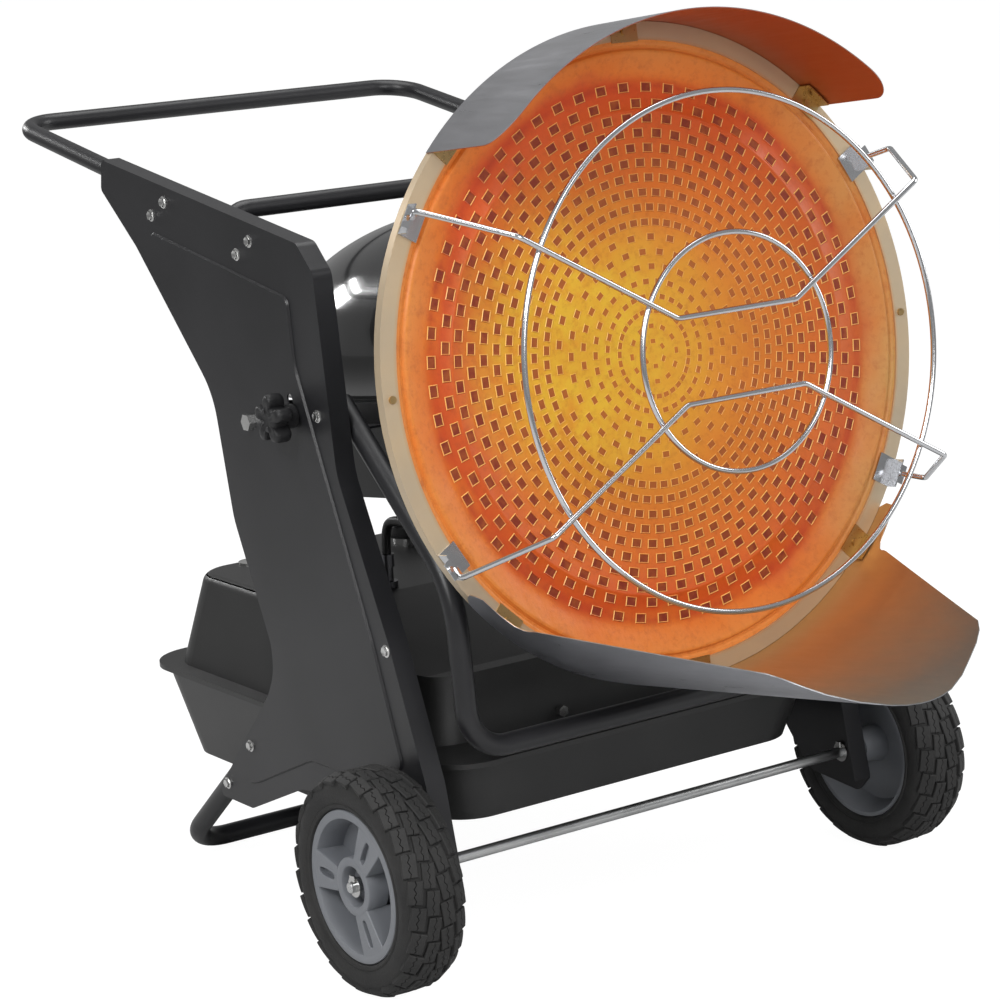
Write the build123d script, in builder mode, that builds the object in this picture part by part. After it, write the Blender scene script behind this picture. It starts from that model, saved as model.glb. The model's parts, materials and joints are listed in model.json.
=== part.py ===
from build123d import *
import os
from math import cos, radians, sin, sqrt

os.makedirs("parts", exist_ok=True)

# Radiant heater on a two-wheeled cart. Millimetres, +Z up, the emitter faces -Y.
# Distances along Y in the names below are measured from the wheel axle, positive to the back.
axle_y = -199.25
axle_z = 127.0
axle_radius = 6.35
wheel_radius = 127.0
rim_radius = 86.9
tyre_inner_x = 329.0
tyre_outer_x = 401.5
running_clearance = 0.05

panel_face_x = 310.0
sheet = 2.0
panel_flange = 25.0
field_raise = 2.5

tank_half_width = 280.0
tank_front = -20.0
tank_back = 692.0
tank_seam_z = 233.0
tank_top_z = 350.0
tank_bottom_z = 115.0

head_tilt = 6.45
head_y = -78.6
head_z = 671.4
ring_radius = 366.0
ring_inner_radius = 346.0
ring_depth = 12.0
hole_rows = 10
holes_per_row = 30
row_pitch = 16.4
first_row_radius = 295.0
pivot_y = 297.0
pivot_z = 598.0
knob_y = 201.0
knob_z = 616.0
tilt_down = 3.0
tilt_up = 12.0

guard_plane = 138.0
guard_wire = 3.2
guard_large_radius = 279.0
guard_small_radius = 128.3


def cart(y, z):
    """A point of a side view, given from the axle."""
    return (axle_y + y, z)


def spot(x, y, z):
    """A point in space, given from the axle."""
    return (x, axle_y + y, z)


# The emitter's own frame: x across, y up its face, z out of its face.
head = Plane(
    origin=spot(0, head_y, head_z),
    x_dir=(1, 0, 0),
    z_dir=(0, -cos(radians(head_tilt)), sin(radians(head_tilt))),
)
head_axis = Axis(head.origin, head.z_dir)
# Profiles that turn about the emitter's axis: x is the radius, y is out of the face.
head_profile = Plane(origin=head.origin, x_dir=(1, 0, 0), z_dir=-head.y_dir)
wheel_axis = Axis(spot(0, 0, axle_z), (1, 0, 0))
wheel_profile = Plane(origin=spot(0, 0, axle_z), x_dir=(1, 0, 0), z_dir=(0, -1, 0))


def side_plane(x):
    """A plane across the cart at x, drawn in Y and Z."""
    return Plane.YZ.offset(x)


def on_head(x, y, z):
    """A point of the emitter's frame, in space."""
    return head.from_local_coords(Vector(x, y, z))


def keep(piece, name):
    """Label a finished piece and write it."""
    piece.part.label = name
    export_step(piece.part, f"parts/{name}.step")


def mirrored(piece):
    """The same piece on the other side of the cart."""
    with BuildPart() as other:
        add(mirror(piece.part, about=Plane.YZ))
    return other


# Side panels: pressed sheet with a raised field and a flange along the front and top edges.
panel_outline = [
    cart(627.5, 886.4),
    cart(634.5, 849.1),
    cart(553.8, 784.3),
    cart(390.5, 620.7),
    cart(362.5, 472.8),
    cart(296.1, 328.8),
    cart(296.4, 295.2),
    cart(312.6, 265.7),
    cart(458.6, 111.5),
    cart(371.9, 111.6),
    cart(242.2, 165.9),
    cart(120.0, 160.0),
    cart(62.0, 92.0),
    cart(-30.0, 84.0),
    cart(-49.8, 104.9),
    cart(-23.6, 227.2),
    cart(35.6, 380.0),
    cart(119.8, 558.2),
    cart(141.2, 781.9),
    cart(172.8, 813.7),
]
panel_radii = [8, 8, 90, 100, 90, 50, 45, 70, 8, 10, 80, 40, 30, 14, 8, 90, 150, 90, 16, 16]
field_outline = [
    cart(538.0, 810.6),
    cart(505.0, 776.0),
    cart(362.0, 632.0),
    cart(334.0, 478.0),
    cart(267.0, 333.0),
    cart(266.0, 290.0),
    cart(284.0, 250.0),
    cart(392.0, 138.0),
    cart(350.0, 148.0),
    cart(221.0, 203.0),
    cart(144.0, 205.0),
    cart(60.0, 214.0),
    cart(18.6, 239.1),
    cart(66.0, 375.0),
    cart(161.3, 599.8),
    cart(191.7, 674.0),
    cart(197.8, 751.3),
]
field_radii = [12, 60, 80, 80, 40, 35, 40, 8, 30, 40, 40, 20, 12, 60, 120, 60, 14]
flange_path = [
    cart(-49.8, 104.9),
    cart(-23.6, 227.2),
    cart(35.6, 380.0),
    cart(119.8, 558.2),
    cart(141.2, 781.9),
    cart(172.8, 813.7),
    cart(627.5, 886.4),
]
knob_swing = sqrt((pivot_y - knob_y) ** 2 + (pivot_z - knob_z) ** 2)
knob_angle = 169.4
stud_radius = 5.0
slot_middle = CenterArc(
    cart(pivot_y, pivot_z),
    knob_swing,
    knob_angle - tilt_up,
    tilt_up + tilt_down,
)

with BuildPart() as left_side_panel:
    with BuildSketch(side_plane(-panel_face_x)):
        with BuildLine():
            FilletPolyline(*panel_outline, radius=panel_radii, close=True)
        make_face()
    extrude(amount=sheet)
    with BuildSketch(side_plane(-panel_face_x)):
        with BuildLine():
            FilletPolyline(*field_outline, radius=field_radii, close=True)
        make_face()
    extrude(amount=-field_raise, taper=40)
    with BuildSketch(side_plane(-panel_face_x + sheet)):
        with BuildLine():
            FilletPolyline(*field_outline, radius=field_radii, close=True)
        make_face()
        offset(amount=-1.2, mode=Mode.REPLACE)
    extrude(amount=-field_raise, taper=40, mode=Mode.SUBTRACT)
    with BuildSketch(side_plane(-panel_face_x + sheet)):
        with BuildLine():
            FilletPolyline(*flange_path, radius=[90, 150, 90, 16, 16])
            offset(amount=sheet, side=Side.RIGHT)
        make_face()
    extrude(amount=panel_flange - sheet)
    with BuildSketch(side_plane(-panel_face_x - field_raise)):
        with Locations(cart(0, axle_z)):
            Circle(axle_radius + 0.3)
        with Locations(cart(pivot_y, pivot_z)):
            Circle(6.3)
        SlotArc(slot_middle, height=2 * stud_radius + 0.8)
    extrude(amount=3 * sheet + field_raise, mode=Mode.SUBTRACT)
keep(left_side_panel, "left_side_panel")

right_side_panel = mirrored(left_side_panel)
keep(right_side_panel, "right_side_panel")


# Bent tubes of the cart.
def bent_tube(points, bend_radius, tube_radius):
    """A round tube along straight runs joined by tangent arcs."""
    with BuildPart() as tube:
        with BuildLine() as path:
            FilletPolyline(*points, radius=bend_radius)
        with BuildSketch(Plane(origin=path.line @ 0, z_dir=path.line % 0)):
            Circle(tube_radius)
        sweep()
    return tube


handle_x = 296.7
handle_tube = bent_tube(
    [
        spot(-handle_x, 250, 803.6),
        spot(-handle_x, 882.4, 918.4),
        spot(handle_x, 882.4, 918.4),
        spot(handle_x, 250, 803.6),
    ],
    50,
    11,
)
keep(handle_tube, "handle_tube")

crossbar_x = 271.0
upper_crossbar = bent_tube(
    [
        spot(-crossbar_x, 395, 790),
        spot(-crossbar_x, 395, 832),
        spot(crossbar_x, 395, 832),
        spot(crossbar_x, 395, 790),
    ],
    28,
    11,
)
keep(upper_crossbar, "upper_crossbar")

with BuildPart() as crossbar_brackets:
    with BuildSketch(side_plane(-panel_face_x + sheet)):
        with Locations(cart(395, 796)):
            RectangleRounded(56, 14, 3)
    extrude(amount=panel_face_x - sheet - crossbar_x - 11.1)
    with BuildSketch(side_plane(panel_face_x - sheet)):
        with Locations(cart(395, 796)):
            RectangleRounded(56, 14, 3)
    extrude(amount=-(panel_face_x - sheet - crossbar_x - 11.1))
keep(crossbar_brackets, "crossbar_brackets")

front_tube_x = 270.0
front_tube = bent_tube(
    [
        spot(-front_tube_x, 165, 630),
        spot(-front_tube_x, -42, 446),
        spot(-front_tube_x, -56, 264),
        spot(front_tube_x, -56, 264),
        spot(front_tube_x, -42, 446),
        spot(front_tube_x, 165, 630),
    ],
    [120, 48, 48, 120],
    12.5,
)
keep(front_tube, "front_tube")

foot_x = 295.0
foot_tube = bent_tube(
    [
        spot(-foot_x, 345, 208.7),
        spot(-foot_x, 580, 12.5),
        spot(foot_x, 580, 12.5),
        spot(foot_x, 345, 208.7),
    ],
    60,
    12.5,
)
keep(foot_tube, "foot_tube")

with BuildPart() as front_tube_spacers:
    for start, reach in ((-panel_face_x + sheet, 1), (panel_face_x - sheet, -1)):
        with BuildSketch(side_plane(start)):
            with Locations(cart(153, 618)):
                Circle(9)
        extrude(amount=reach * (panel_face_x - sheet - front_tube_x - 12.6))
keep(front_tube_spacers, "front_tube_spacers")

# Axle, its spacers, washers and split pins.
axle_half = 403.0
with BuildPart() as axle:
    with BuildSketch(side_plane(-axle_half)):
        with Locations(cart(0, axle_z)):
            Circle(axle_radius)
    extrude(amount=2 * axle_half)
    chamfer(axle.edges().filter_by(GeomType.CIRCLE), 1)
keep(axle, "axle")


def sleeves(spans, outer_radius):
    """Rings on the axle, one for each span of x."""
    with BuildPart() as rings:
        for low, high in spans:
            with BuildSketch(side_plane(low)):
                with Locations(cart(0, axle_z)):
                    Circle(outer_radius)
                    Circle(axle_radius + 0.1, mode=Mode.SUBTRACT)
            extrude(amount=high - low)
    return rings


axle_spacers = sleeves([(-328.4, -310.2), (310.2, 328.4)], 10)
keep(axle_spacers, "axle_spacers")
axle_washers = sleeves([(-396.6, -394.6), (394.6, 396.6), (-307.8, -305.8), (305.8, 307.8)], 12)
keep(axle_washers, "axle_washers")

with BuildPart() as split_pins:
    for x in (-398.4, -303.6, 303.6, 398.4):
        with BuildSketch(Plane(origin=spot(x, 0, axle_z + axle_radius + 0.1), z_dir=(0, 0, 1))):
            SlotOverall(9, 3.2, rotation=90)
        extrude(amount=7)
keep(split_pins, "split_pins")


# Wheels: blocky tyre on a moulded hub with three slotted spokes.
with BuildSketch() as hub_window:
    with BuildLine():
        window_out = CenterArc((0, 0), 71, -27, 54)
        window_in = CenterArc((0, 0), 36, -16, 32)
        Line(window_out @ 0, window_in @ 0)
        Line(window_out @ 1, window_in @ 1)
    make_face()
with BuildSketch() as spoke_slot:
    SlotOverall(26, 9)


def wheel_pieces(side):
    """The tyre, hub and bush of one wheel; side is -1 for the left and 1 for the right."""
    inner = side * tyre_inner_x
    outer = side * tyre_outer_x
    tread_middle = (inner + outer) / 2
    centre = Pos(*spot(tread_middle, 0, axle_z))
    notches = []
    for turn in range(16):
        for shift, part_turn in ((-28, 0), (28, 0.5)):
            angle = (turn + part_turn) * 360 / 16
            notches.append(centre * Rot(X=angle) * Pos(shift, 0, wheel_radius) * Box(22, 4, 10))
    ribs = [centre * Rot(X=60 * turn) * Pos(-side * 2, 0, 49) * Box(44, 2.4, 60) for turn in range(6)]
    windows = [Pos(*cart(0, axle_z)) * Rot(Z=120 * turn + 30) * hub_window.sketch for turn in range(3)]
    slots = [Pos(*cart(0, axle_z)) * Rot(Z=120 * turn + 90) * Pos(52, 0) * spoke_slot.sketch for turn in range(3)]
    with BuildPart() as tyre:
        with BuildSketch(wheel_profile):
            with BuildLine():
                Polyline(
                    (inner + side * 4, rim_radius),
                    (inner, rim_radius + 12),
                    (inner + side * 2, wheel_radius - 14),
                    (inner + side * 12, wheel_radius - 1.5),
                    (inner + side * 26, wheel_radius),
                    (inner + side * 26, wheel_radius - 4),
                    (inner + side * 30, wheel_radius - 4),
                    (inner + side * 30, wheel_radius),
                    (outer - side * 30, wheel_radius),
                    (outer - side * 30, wheel_radius - 4),
                    (outer - side * 26, wheel_radius - 4),
                    (outer - side * 26, wheel_radius),
                    (outer - side * 12, wheel_radius - 1.5),
                    (outer - side * 2, wheel_radius - 14),
                    (outer, rim_radius + 12),
                    (outer - side * 4, rim_radius),
                    close=True,
                )
            make_face()
        revolve(axis=wheel_axis)
        add(notches, mode=Mode.SUBTRACT)
    hub_outer = outer - side * 3.5
    hub_inner = inner + side * 4.5
    web_outer = outer - side * 8
    web_inner = outer - side * 15
    with BuildPart() as hub:
        with BuildSketch(wheel_profile):
            with BuildLine():
                Polyline(
                    (hub_inner, rim_radius - 0.3),
                    (hub_outer, rim_radius - 0.3),
                    (hub_outer, 75),
                    (web_outer, 72),
                    (web_outer, 30),
                    (hub_outer, 27),
                    (hub_outer, 22),
                    (web_outer, 19),
                    (web_outer, 9.6),
                    (hub_inner, 9.6),
                    (hub_inner, 18),
                    (web_inner, 20),
                    (web_inner, 78),
                    (hub_inner, 82),
                    close=True,
                )
            make_face()
        revolve(axis=wheel_axis)
        with BuildSketch(side_plane(hub_outer + side)):
            add(windows)
            add(slots)
        extrude(amount=-side * 16, mode=Mode.SUBTRACT)
        add(ribs)
    with BuildPart() as bush:
        with BuildSketch(side_plane(inner + side * 1.5)):
            with Locations(cart(0, axle_z)):
                Circle(9.5)
                Circle(axle_radius + running_clearance, mode=Mode.SUBTRACT)
        extrude(amount=side * 63)
    return tyre, hub, bush


for side, word in ((-1, "left"), (1, "right")):
    tyre, hub, bush = wheel_pieces(side)
    keep(tyre, f"{word}_tyre")
    keep(hub, f"{word}_wheel_hub")
    keep(bush, f"{word}_wheel_bush")


# Fuel tank: two pressed halves joined at a rim flange.
def tank_mass(inset):
    """The closed shape of the upper half, drawn smaller by inset."""
    with BuildPart() as mass:
        with BuildSketch(Plane.XY.offset(tank_seam_z)):
            with Locations((0, axle_y + 362)):
                RectangleRounded(516 - 2 * inset, 604 - 2 * inset, 60 - inset)
        with BuildSketch(Plane.XY.offset(tank_top_z - inset)):
            with Locations((0, axle_y + 362)):
                RectangleRounded(450 - 2 * inset, 560 - 2 * inset, 50 - inset)
        loft()
        with BuildSketch(side_plane(-300)):
            with BuildLine():
                Polyline(
                    cart(0, 500),
                    cart(0, 308 - inset),
                    cart(96, 312 - inset),
                    cart(345, tank_top_z - inset),
                    cart(345, 500),
                    close=True,
                )
            make_face()
        extrude(amount=600, mode=Mode.SUBTRACT)
    return mass


def sump_mass(inset):
    """The closed shape of the lower half: a shallow front and a deep back."""
    with BuildPart() as mass:
        with BuildSketch(Plane.XY.offset(tank_seam_z - 3)):
            with Locations((0, axle_y + (tank_front + tank_back) / 2 - 6)):
                RectangleRounded(544 - 2 * inset, tank_back - tank_front - 28 - 2 * inset, 56 - inset)
        with BuildSketch(Plane.XY.offset(tank_bottom_z + inset)):
            with Locations((0, axle_y + 340)):
                RectangleRounded(480 - 2 * inset, 632 - 2 * inset, 50 - inset)
        loft()
        with BuildSketch(side_plane(-300)):
            with BuildLine():
                Polyline(
                    cart(-60, 0),
                    cart(-60, 162 + inset),
                    cart(190, 158 + inset),
                    cart(280, tank_bottom_z + inset),
                    cart(280, 0),
                    close=True,
                )
            make_face()
        extrude(amount=600, mode=Mode.SUBTRACT)
    return mass


filler_x = 60.0
filler_y = 560.0
gauge_x = -150.0
gauge_y = 615.0
outlet_x = -99.0
outlet_y = 366.0
tank_middle_y = (tank_front + tank_back) / 2


def rim_flange(low, high, hole_width, hole_length, hole_y):
    """One half's rim: a flat ring that the seam weld runs along."""
    with BuildPart() as rim:
        with BuildSketch(Plane.XY.offset(low)):
            with Locations((0, axle_y + tank_middle_y)):
                RectangleRounded(2 * tank_half_width, tank_back - tank_front, 64)
            with Locations((0, axle_y + hole_y)):
                RectangleRounded(hole_width, hole_length, 56, mode=Mode.SUBTRACT)
        extrude(amount=high - low)
    return rim.part


with BuildPart() as tank_upper_shell:
    add(tank_mass(0).part)
    fillet(tank_upper_shell.faces().sort_by(Axis.Z)[-1].edges(), 14)
    add(tank_mass(2).part, mode=Mode.SUBTRACT)
    add(rim_flange(tank_seam_z, tank_seam_z + 3, 512, 600, 362))
    with BuildSketch(Plane.XY.offset(tank_top_z - 6)):
        with Locations((filler_x, axle_y + filler_y)):
            Circle(24)
        with Locations((gauge_x, axle_y + gauge_y)):
            Circle(12.2)
        with Locations((outlet_x, axle_y + outlet_y)):
            Circle(9.2)
    extrude(amount=10, mode=Mode.SUBTRACT)
keep(tank_upper_shell, "tank_upper_shell")

with BuildPart() as tank_lower_shell:
    add(sump_mass(0).part)
    add(sump_mass(2).part, mode=Mode.SUBTRACT)
    add(rim_flange(tank_seam_z - 3, tank_seam_z, 540, tank_back - tank_front - 32, tank_middle_y - 6))
keep(tank_lower_shell, "tank_lower_shell")

with BuildPart() as filler_neck:
    with BuildSketch(Plane.XY.offset(tank_top_z - 14)):
        with Locations((filler_x, axle_y + filler_y)):
            Circle(23.9)
            Circle(21.5, mode=Mode.SUBTRACT)
    extrude(amount=24)
keep(filler_neck, "filler_neck")

with BuildPart() as fuel_cap:
    with BuildSketch(Plane.XY.offset(tank_top_z + 10.2)):
        with Locations((filler_x, axle_y + filler_y)):
            Circle(31)
    extrude(amount=4)
    with BuildSketch(Plane.XY.offset(tank_top_z + 14.2)):
        with Locations((filler_x, axle_y + filler_y)):
            Circle(29)
    extrude(amount=9, taper=6)
    with BuildSketch(Plane.XY.offset(tank_top_z + 23.2)):
        with Locations((filler_x, axle_y + filler_y)):
            SlotOverall(48, 12)
    extrude(amount=9)
    with BuildSketch(Plane.XY.offset(tank_top_z + 0.2)):
        with Locations((filler_x, axle_y + filler_y)):
            Circle(21.2)
    extrude(amount=10)
keep(fuel_cap, "fuel_cap")

with BuildPart() as fuel_gauge:
    with BuildSketch(Plane.XY.offset(tank_top_z)):
        with Locations((gauge_x, axle_y + gauge_y)):
            Circle(17)
    extrude(amount=3)
    with BuildSketch(Plane.XY.offset(tank_top_z - 120)):
        with Locations((gauge_x, axle_y + gauge_y)):
            Circle(12)
    extrude(amount=120)
keep(fuel_gauge, "fuel_gauge")

with BuildPart() as drain_plug:
    with BuildSketch(Plane(origin=spot(-65, 61.2, 246), z_dir=(0, -1, 0))):
        RegularPolygon(7, 6)
    extrude(amount=7)
keep(drain_plug, "drain_plug")

with BuildPart() as tank_brackets:
    for direction in (-1, 1):
        with BuildSketch(Plane.XY.offset(tank_seam_z - 6.2)):
            with Locations(
                (direction * 290.1, axle_y + 40),
                (direction * 290.1, axle_y + 250),
            ):
                Rectangle(35.4, 36)
        extrude(amount=3)
keep(tank_brackets, "tank_brackets")

# Fuel line: an outlet fitting on the tank, a pickup tube below it and a flexible hose to the pump.
with BuildPart() as fuel_outlet:
    for low, high, radius in ((-14, 0, 9), (0, 8, 12), (8, 26, 7), (26, 42, 9)):
        with BuildSketch(Plane.XY.offset(tank_top_z + low)):
            with Locations((outlet_x, axle_y + outlet_y)):
                Circle(radius)
        extrude(amount=high - low)
keep(fuel_outlet, "fuel_outlet")

with BuildPart() as pickup_tube:
    with BuildSketch(Plane.XY.offset(130)):
        with Locations((outlet_x, axle_y + outlet_y)):
            Circle(4)
    extrude(amount=tank_top_z - 14 - 130)
    with BuildSketch(Plane.XY.offset(124)):
        with Locations((outlet_x, axle_y + outlet_y)):
            Circle(14)
    extrude(amount=18)
keep(pickup_tube, "pickup_tube")


# Screws and bolts on the panels.
with BuildPart() as panel_screws:
    for direction in (-1, 1):
        with BuildSketch(side_plane(direction * panel_face_x)):
            with Locations(
                cart(507.5, 825.1),
                cart(474.4, 842.6),
                cart(307.3, 792.0),
                cart(276.8, 809.2),
                cart(152.0, 620.7),
                cart(40.0, 369.6),
                cart(364.8, 192.1),
                cart(429.0, 131.2),
            ):
                RegularPolygon(6.5, 8)
        extrude(amount=direction * 4.5)
keep(panel_screws, "panel_screws")

with BuildPart() as pivot_bolts:
    for direction in (-1, 1):
        with BuildSketch(side_plane(direction * 285)):
            with Locations(cart(pivot_y, pivot_z)):
                Circle(6.0)
        extrude(amount=direction * 34)
        with BuildSketch(side_plane(direction * (panel_face_x + field_raise + 0.1))):
            with Locations(cart(pivot_y, pivot_z)):
                RegularPolygon(10.4, 6)
        extrude(amount=direction * 9)
keep(pivot_bolts, "pivot_bolts")

# Emitter: rim, perforated plate, back pan.
with BuildPart() as emitter_ring:
    with BuildSketch(head_profile):
        with BuildLine():
            Polyline(
                (ring_radius, -ring_depth),
                (ring_radius, 0),
                (ring_inner_radius, 0),
                (ring_inner_radius, -2),
                (ring_radius - 1.5, -2),
                (ring_radius - 1.5, -ring_depth),
                close=True,
            )
        make_face()
    revolve(axis=head_axis)
keep(emitter_ring, "emitter_ring")

plate_front = -12.0
plate_gauge = 1.5
with BuildPart() as emitter_plate:
    with BuildSketch(head_profile):
        with BuildLine():
            Polyline(
                (363.5, -2.2),
                (341, -2.2),
                (339, -5),
                (336, -1),
                (333, -1),
                (303, plate_front),
                (0, plate_front),
                (0, plate_front - plate_gauge),
                (303.6, plate_front - plate_gauge),
                (333, -2.6),
                (335.4, -2.6),
                (339, -7),
                (342, -3.7),
                (363.5, -3.7),
                close=True,
            )
        make_face()
    revolve(axis=head_axis)
    with BuildSketch(head.offset(plate_front - plate_gauge - 1)):
        for row in range(hole_rows):
            with PolarLocations(first_row_radius - row * row_pitch, holes_per_row, start_angle=6 * (row % 2)):
                Rectangle(8.5, 12)
    extrude(amount=plate_gauge + 2, mode=Mode.SUBTRACT)
keep(emitter_plate, "emitter_plate")

drum_radius = 188.0
with BuildPart() as back_pan:
    with BuildSketch(head_profile):
        with BuildLine():
            Polyline(
                (364.3, -4),
                (364.3, -ring_depth),
                (drum_radius + 3, -105),
                (drum_radius + 3, -125),
                (drum_radius + 1.5, -125),
                (drum_radius + 1.5, -104),
                (362.8, -11.6),
                (362.8, -4),
                close=True,
            )
        make_face()
    revolve(axis=head_axis)
keep(back_pan, "back_pan")

# Burner: baffle and flame tube behind the plate, cover over the top, housing below.
with BuildPart() as flame_baffle:
    with BuildSketch(head.offset(-36)):
        Circle(296)
    extrude(amount=3)
keep(flame_baffle, "flame_baffle")

with BuildPart() as flame_tube:
    with BuildSketch(head_profile):
        with BuildLine():
            Polyline(
                (112, -37),
                (112, -300),
                (40, -300),
                (40, -297),
                (109, -297),
                (109, -37),
                close=True,
            )
        make_face()
    revolve(axis=head_axis)
keep(flame_tube, "flame_tube")

dome_start = -282.0
seam_y = -26.0
with BuildPart() as burner_cover:
    with BuildSketch(head_profile):
        with BuildLine():
            Line((drum_radius, -106), (drum_radius, dome_start))
            CenterArc((0, dome_start), drum_radius, 270, 90)
            Line((0, dome_start - drum_radius), (0, dome_start - drum_radius + 2))
            CenterArc((0, dome_start), drum_radius - 2, 270, 90)
            Line((drum_radius - 2, dome_start), (drum_radius - 2, -106))
            Line((drum_radius - 2, -106), (drum_radius, -106))
        make_face()
    revolve(axis=head_axis)
    split(bisect_by=Plane(origin=on_head(0, seam_y, 0), z_dir=head.y_dir), keep=Keep.TOP)
keep(burner_cover, "burner_cover")

seam = Plane(origin=on_head(0, seam_y, 0), x_dir=(1, 0, 0), z_dir=head.y_dir)
wing_drop = 27.0
with BuildPart() as cradle:
    for direction in (-1, 1):
        with BuildSketch(seam.offset(-3.2)):
            with Locations((direction * 185.5, 352)):
                Rectangle(29, 150)
        extrude(amount=3)
        with BuildSketch(seam.offset(-wing_drop)):
            with Locations((direction * 198.5, 352)):
                Rectangle(3, 150)
        extrude(amount=wing_drop - 3.2)
        with BuildSketch(seam.offset(-wing_drop)):
            with Locations((direction * 250, 352)):
                Rectangle(106, 150)
        extrude(amount=3)
        with BuildSketch(side_plane(direction * 300)):
            with BuildLine():
                FilletPolyline(
                    cart(180, 635),
                    cart(350, 616),
                    cart(340, 548),
                    cart(184, 568),
                    radius=14,
                    close=True,
                )
            make_face()
            with Locations(cart(pivot_y, pivot_z)):
                Circle(6.0 + running_clearance, mode=Mode.SUBTRACT)
            with Locations(cart(knob_y, knob_z)):
                Circle(stud_radius + running_clearance, mode=Mode.SUBTRACT)
        extrude(amount=direction * 3)
keep(cradle, "cradle")

with BuildPart() as lower_housing:
    with BuildSketch(seam.offset(-3.4)):
        with Locations((0, 285)):
            RectangleRounded(340, 300, 24)
            RectangleRounded(336, 296, 22, mode=Mode.SUBTRACT)
    extrude(amount=-112)
    with BuildSketch(seam.offset(-115.4)):
        with Locations((0, 285)):
            RectangleRounded(340, 300, 24)
    extrude(amount=-2)
    with BuildSketch(head.offset(-120)):
        Circle(112.4)
    extrude(amount=-40, mode=Mode.SUBTRACT)
keep(lower_housing, "lower_housing")

# Blower: motor with a shaft, a wheel with blades, the pump on the motor's back.
fan_z = -345.0
with BuildPart() as fan_wheel:
    with BuildSketch(head.offset(fan_z)):
        Circle(80)
    extrude(amount=2)
    with BuildSketch(head.offset(fan_z + 2)):
        with PolarLocations(64, 16):
            Rectangle(28, 2, rotation=35)
    extrude(amount=26)
    with BuildSketch(head.offset(fan_z - 34)):
        Circle(4)
    extrude(amount=34)
keep(fan_wheel, "fan_wheel")

with BuildPart() as fan_motor:
    with BuildSketch(head.offset(fan_z - 8)):
        Circle(44)
        Circle(4 + running_clearance, mode=Mode.SUBTRACT)
    extrude(amount=-66)
    chamfer(fan_motor.edges().filter_by(GeomType.CIRCLE).sort_by(SortBy.RADIUS)[-2:], 6)
keep(fan_motor, "fan_motor")

with BuildPart() as motor_plate:
    with BuildSketch(head.offset(fan_z - 12)):
        RectangleRounded(330, 120, 10)
        Circle(44.1, mode=Mode.SUBTRACT)
        with Locations((0, 60)):
            Rectangle(340, 80, mode=Mode.SUBTRACT)
    extrude(amount=-3)
keep(motor_plate, "motor_plate")

with BuildPart() as nozzle:
    with BuildSketch(head.offset(-318)):
        Circle(10)
    extrude(amount=22)
    with BuildSketch(head.offset(-296)):
        Circle(6)
    extrude(amount=14, taper=10)
keep(nozzle, "nozzle")

with BuildPart() as electrodes:
    with BuildSketch(head.offset(-318)):
        with Locations((-16, 14), (16, 14)):
            Circle(4)
    extrude(amount=44)
keep(electrodes, "electrodes")

with BuildPart() as fuel_pump:
    with BuildSketch(seam.offset(-100)):
        with Locations((-100, 385)):
            RectangleRounded(60, 80, 8)
    extrude(amount=50)
    with BuildSketch(seam.offset(-132)):
        with Locations((-100, 385)):
            Circle(8)
    extrude(amount=14.4)
keep(fuel_pump, "fuel_pump")

fuel_hose = bent_tube(
    [
        spot(outlet_x, outlet_y, tank_top_z + 42.2),
        spot(outlet_x, outlet_y, tank_top_z + 80),
        on_head(-100, seam_y - 164, -385),
        on_head(-100, seam_y - 132.2, -385),
    ],
    15,
    6,
)
keep(fuel_hose, "fuel_hose")

with BuildPart() as ignition_transformer:
    with BuildSketch(seam.offset(-114)):
        with Locations((90, 385)):
            RectangleRounded(110, 80, 6)
    extrude(amount=60)
keep(ignition_transformer, "ignition_transformer")

# Controls on the back of the lower housing.
rear = Plane(origin=on_head(0, seam_y - 60, -435.2), x_dir=(1, 0, 0), z_dir=head.z_dir)
with BuildPart() as control_box:
    with BuildSketch(rear):
        RectangleRounded(190, 84, 8)
    extrude(amount=-46)
    with BuildSketch(rear.offset(-46)):
        with Locations((-50, 0)):
            Rectangle(32.6, 24.6)
    extrude(amount=12, mode=Mode.SUBTRACT)
    with BuildSketch(rear.offset(-46)):
        with Locations((45, 0)):
            Circle(4 + running_clearance)
    extrude(amount=14, mode=Mode.SUBTRACT)
keep(control_box, "control_box")

with BuildPart() as power_switch:
    with BuildSketch(Plane(origin=rear.from_local_coords(Vector(-66, 0, -45)), z_dir=(1, 0, 0))):
        Circle(9)
    extrude(amount=32)
keep(power_switch, "power_switch")

with BuildPart() as thermostat_dial:
    with BuildSketch(rear.offset(-46.4)):
        with Locations((45, 0)):
            Circle(21)
    extrude(amount=-14, taper=6)
    with BuildSketch(rear.offset(-46.4)):
        with Locations((45, 0)):
            Circle(4)
    extrude(amount=13)
keep(thermostat_dial, "thermostat_dial")


# Tilt knobs: five-lobed stars whose studs pass the panel slots into the cradle.
def tilt_knob(side):
    """One knob with its stud; side is -1 for the left."""
    with BuildPart() as knob:
        with BuildSketch(side_plane(side * (panel_face_x + field_raise + 14))):
            with Locations(cart(knob_y, knob_z)):
                Circle(20)
            with Locations(Pos(*cart(knob_y, knob_z))):
                with PolarLocations(21, 5, start_angle=18):
                    Circle(9)
        extrude(amount=side * 22)
        with BuildSketch(side_plane(side * (panel_face_x + field_raise + 0.2))):
            with Locations(cart(knob_y, knob_z)):
                Circle(14)
        extrude(amount=side * 13.8)
        with BuildSketch(side_plane(side * 292)):
            with Locations(cart(knob_y, knob_z)):
                Circle(stud_radius)
        extrude(amount=side * 21)
    return knob


keep(tilt_knob(-1), "left_knob")
keep(tilt_knob(1), "right_knob")

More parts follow.
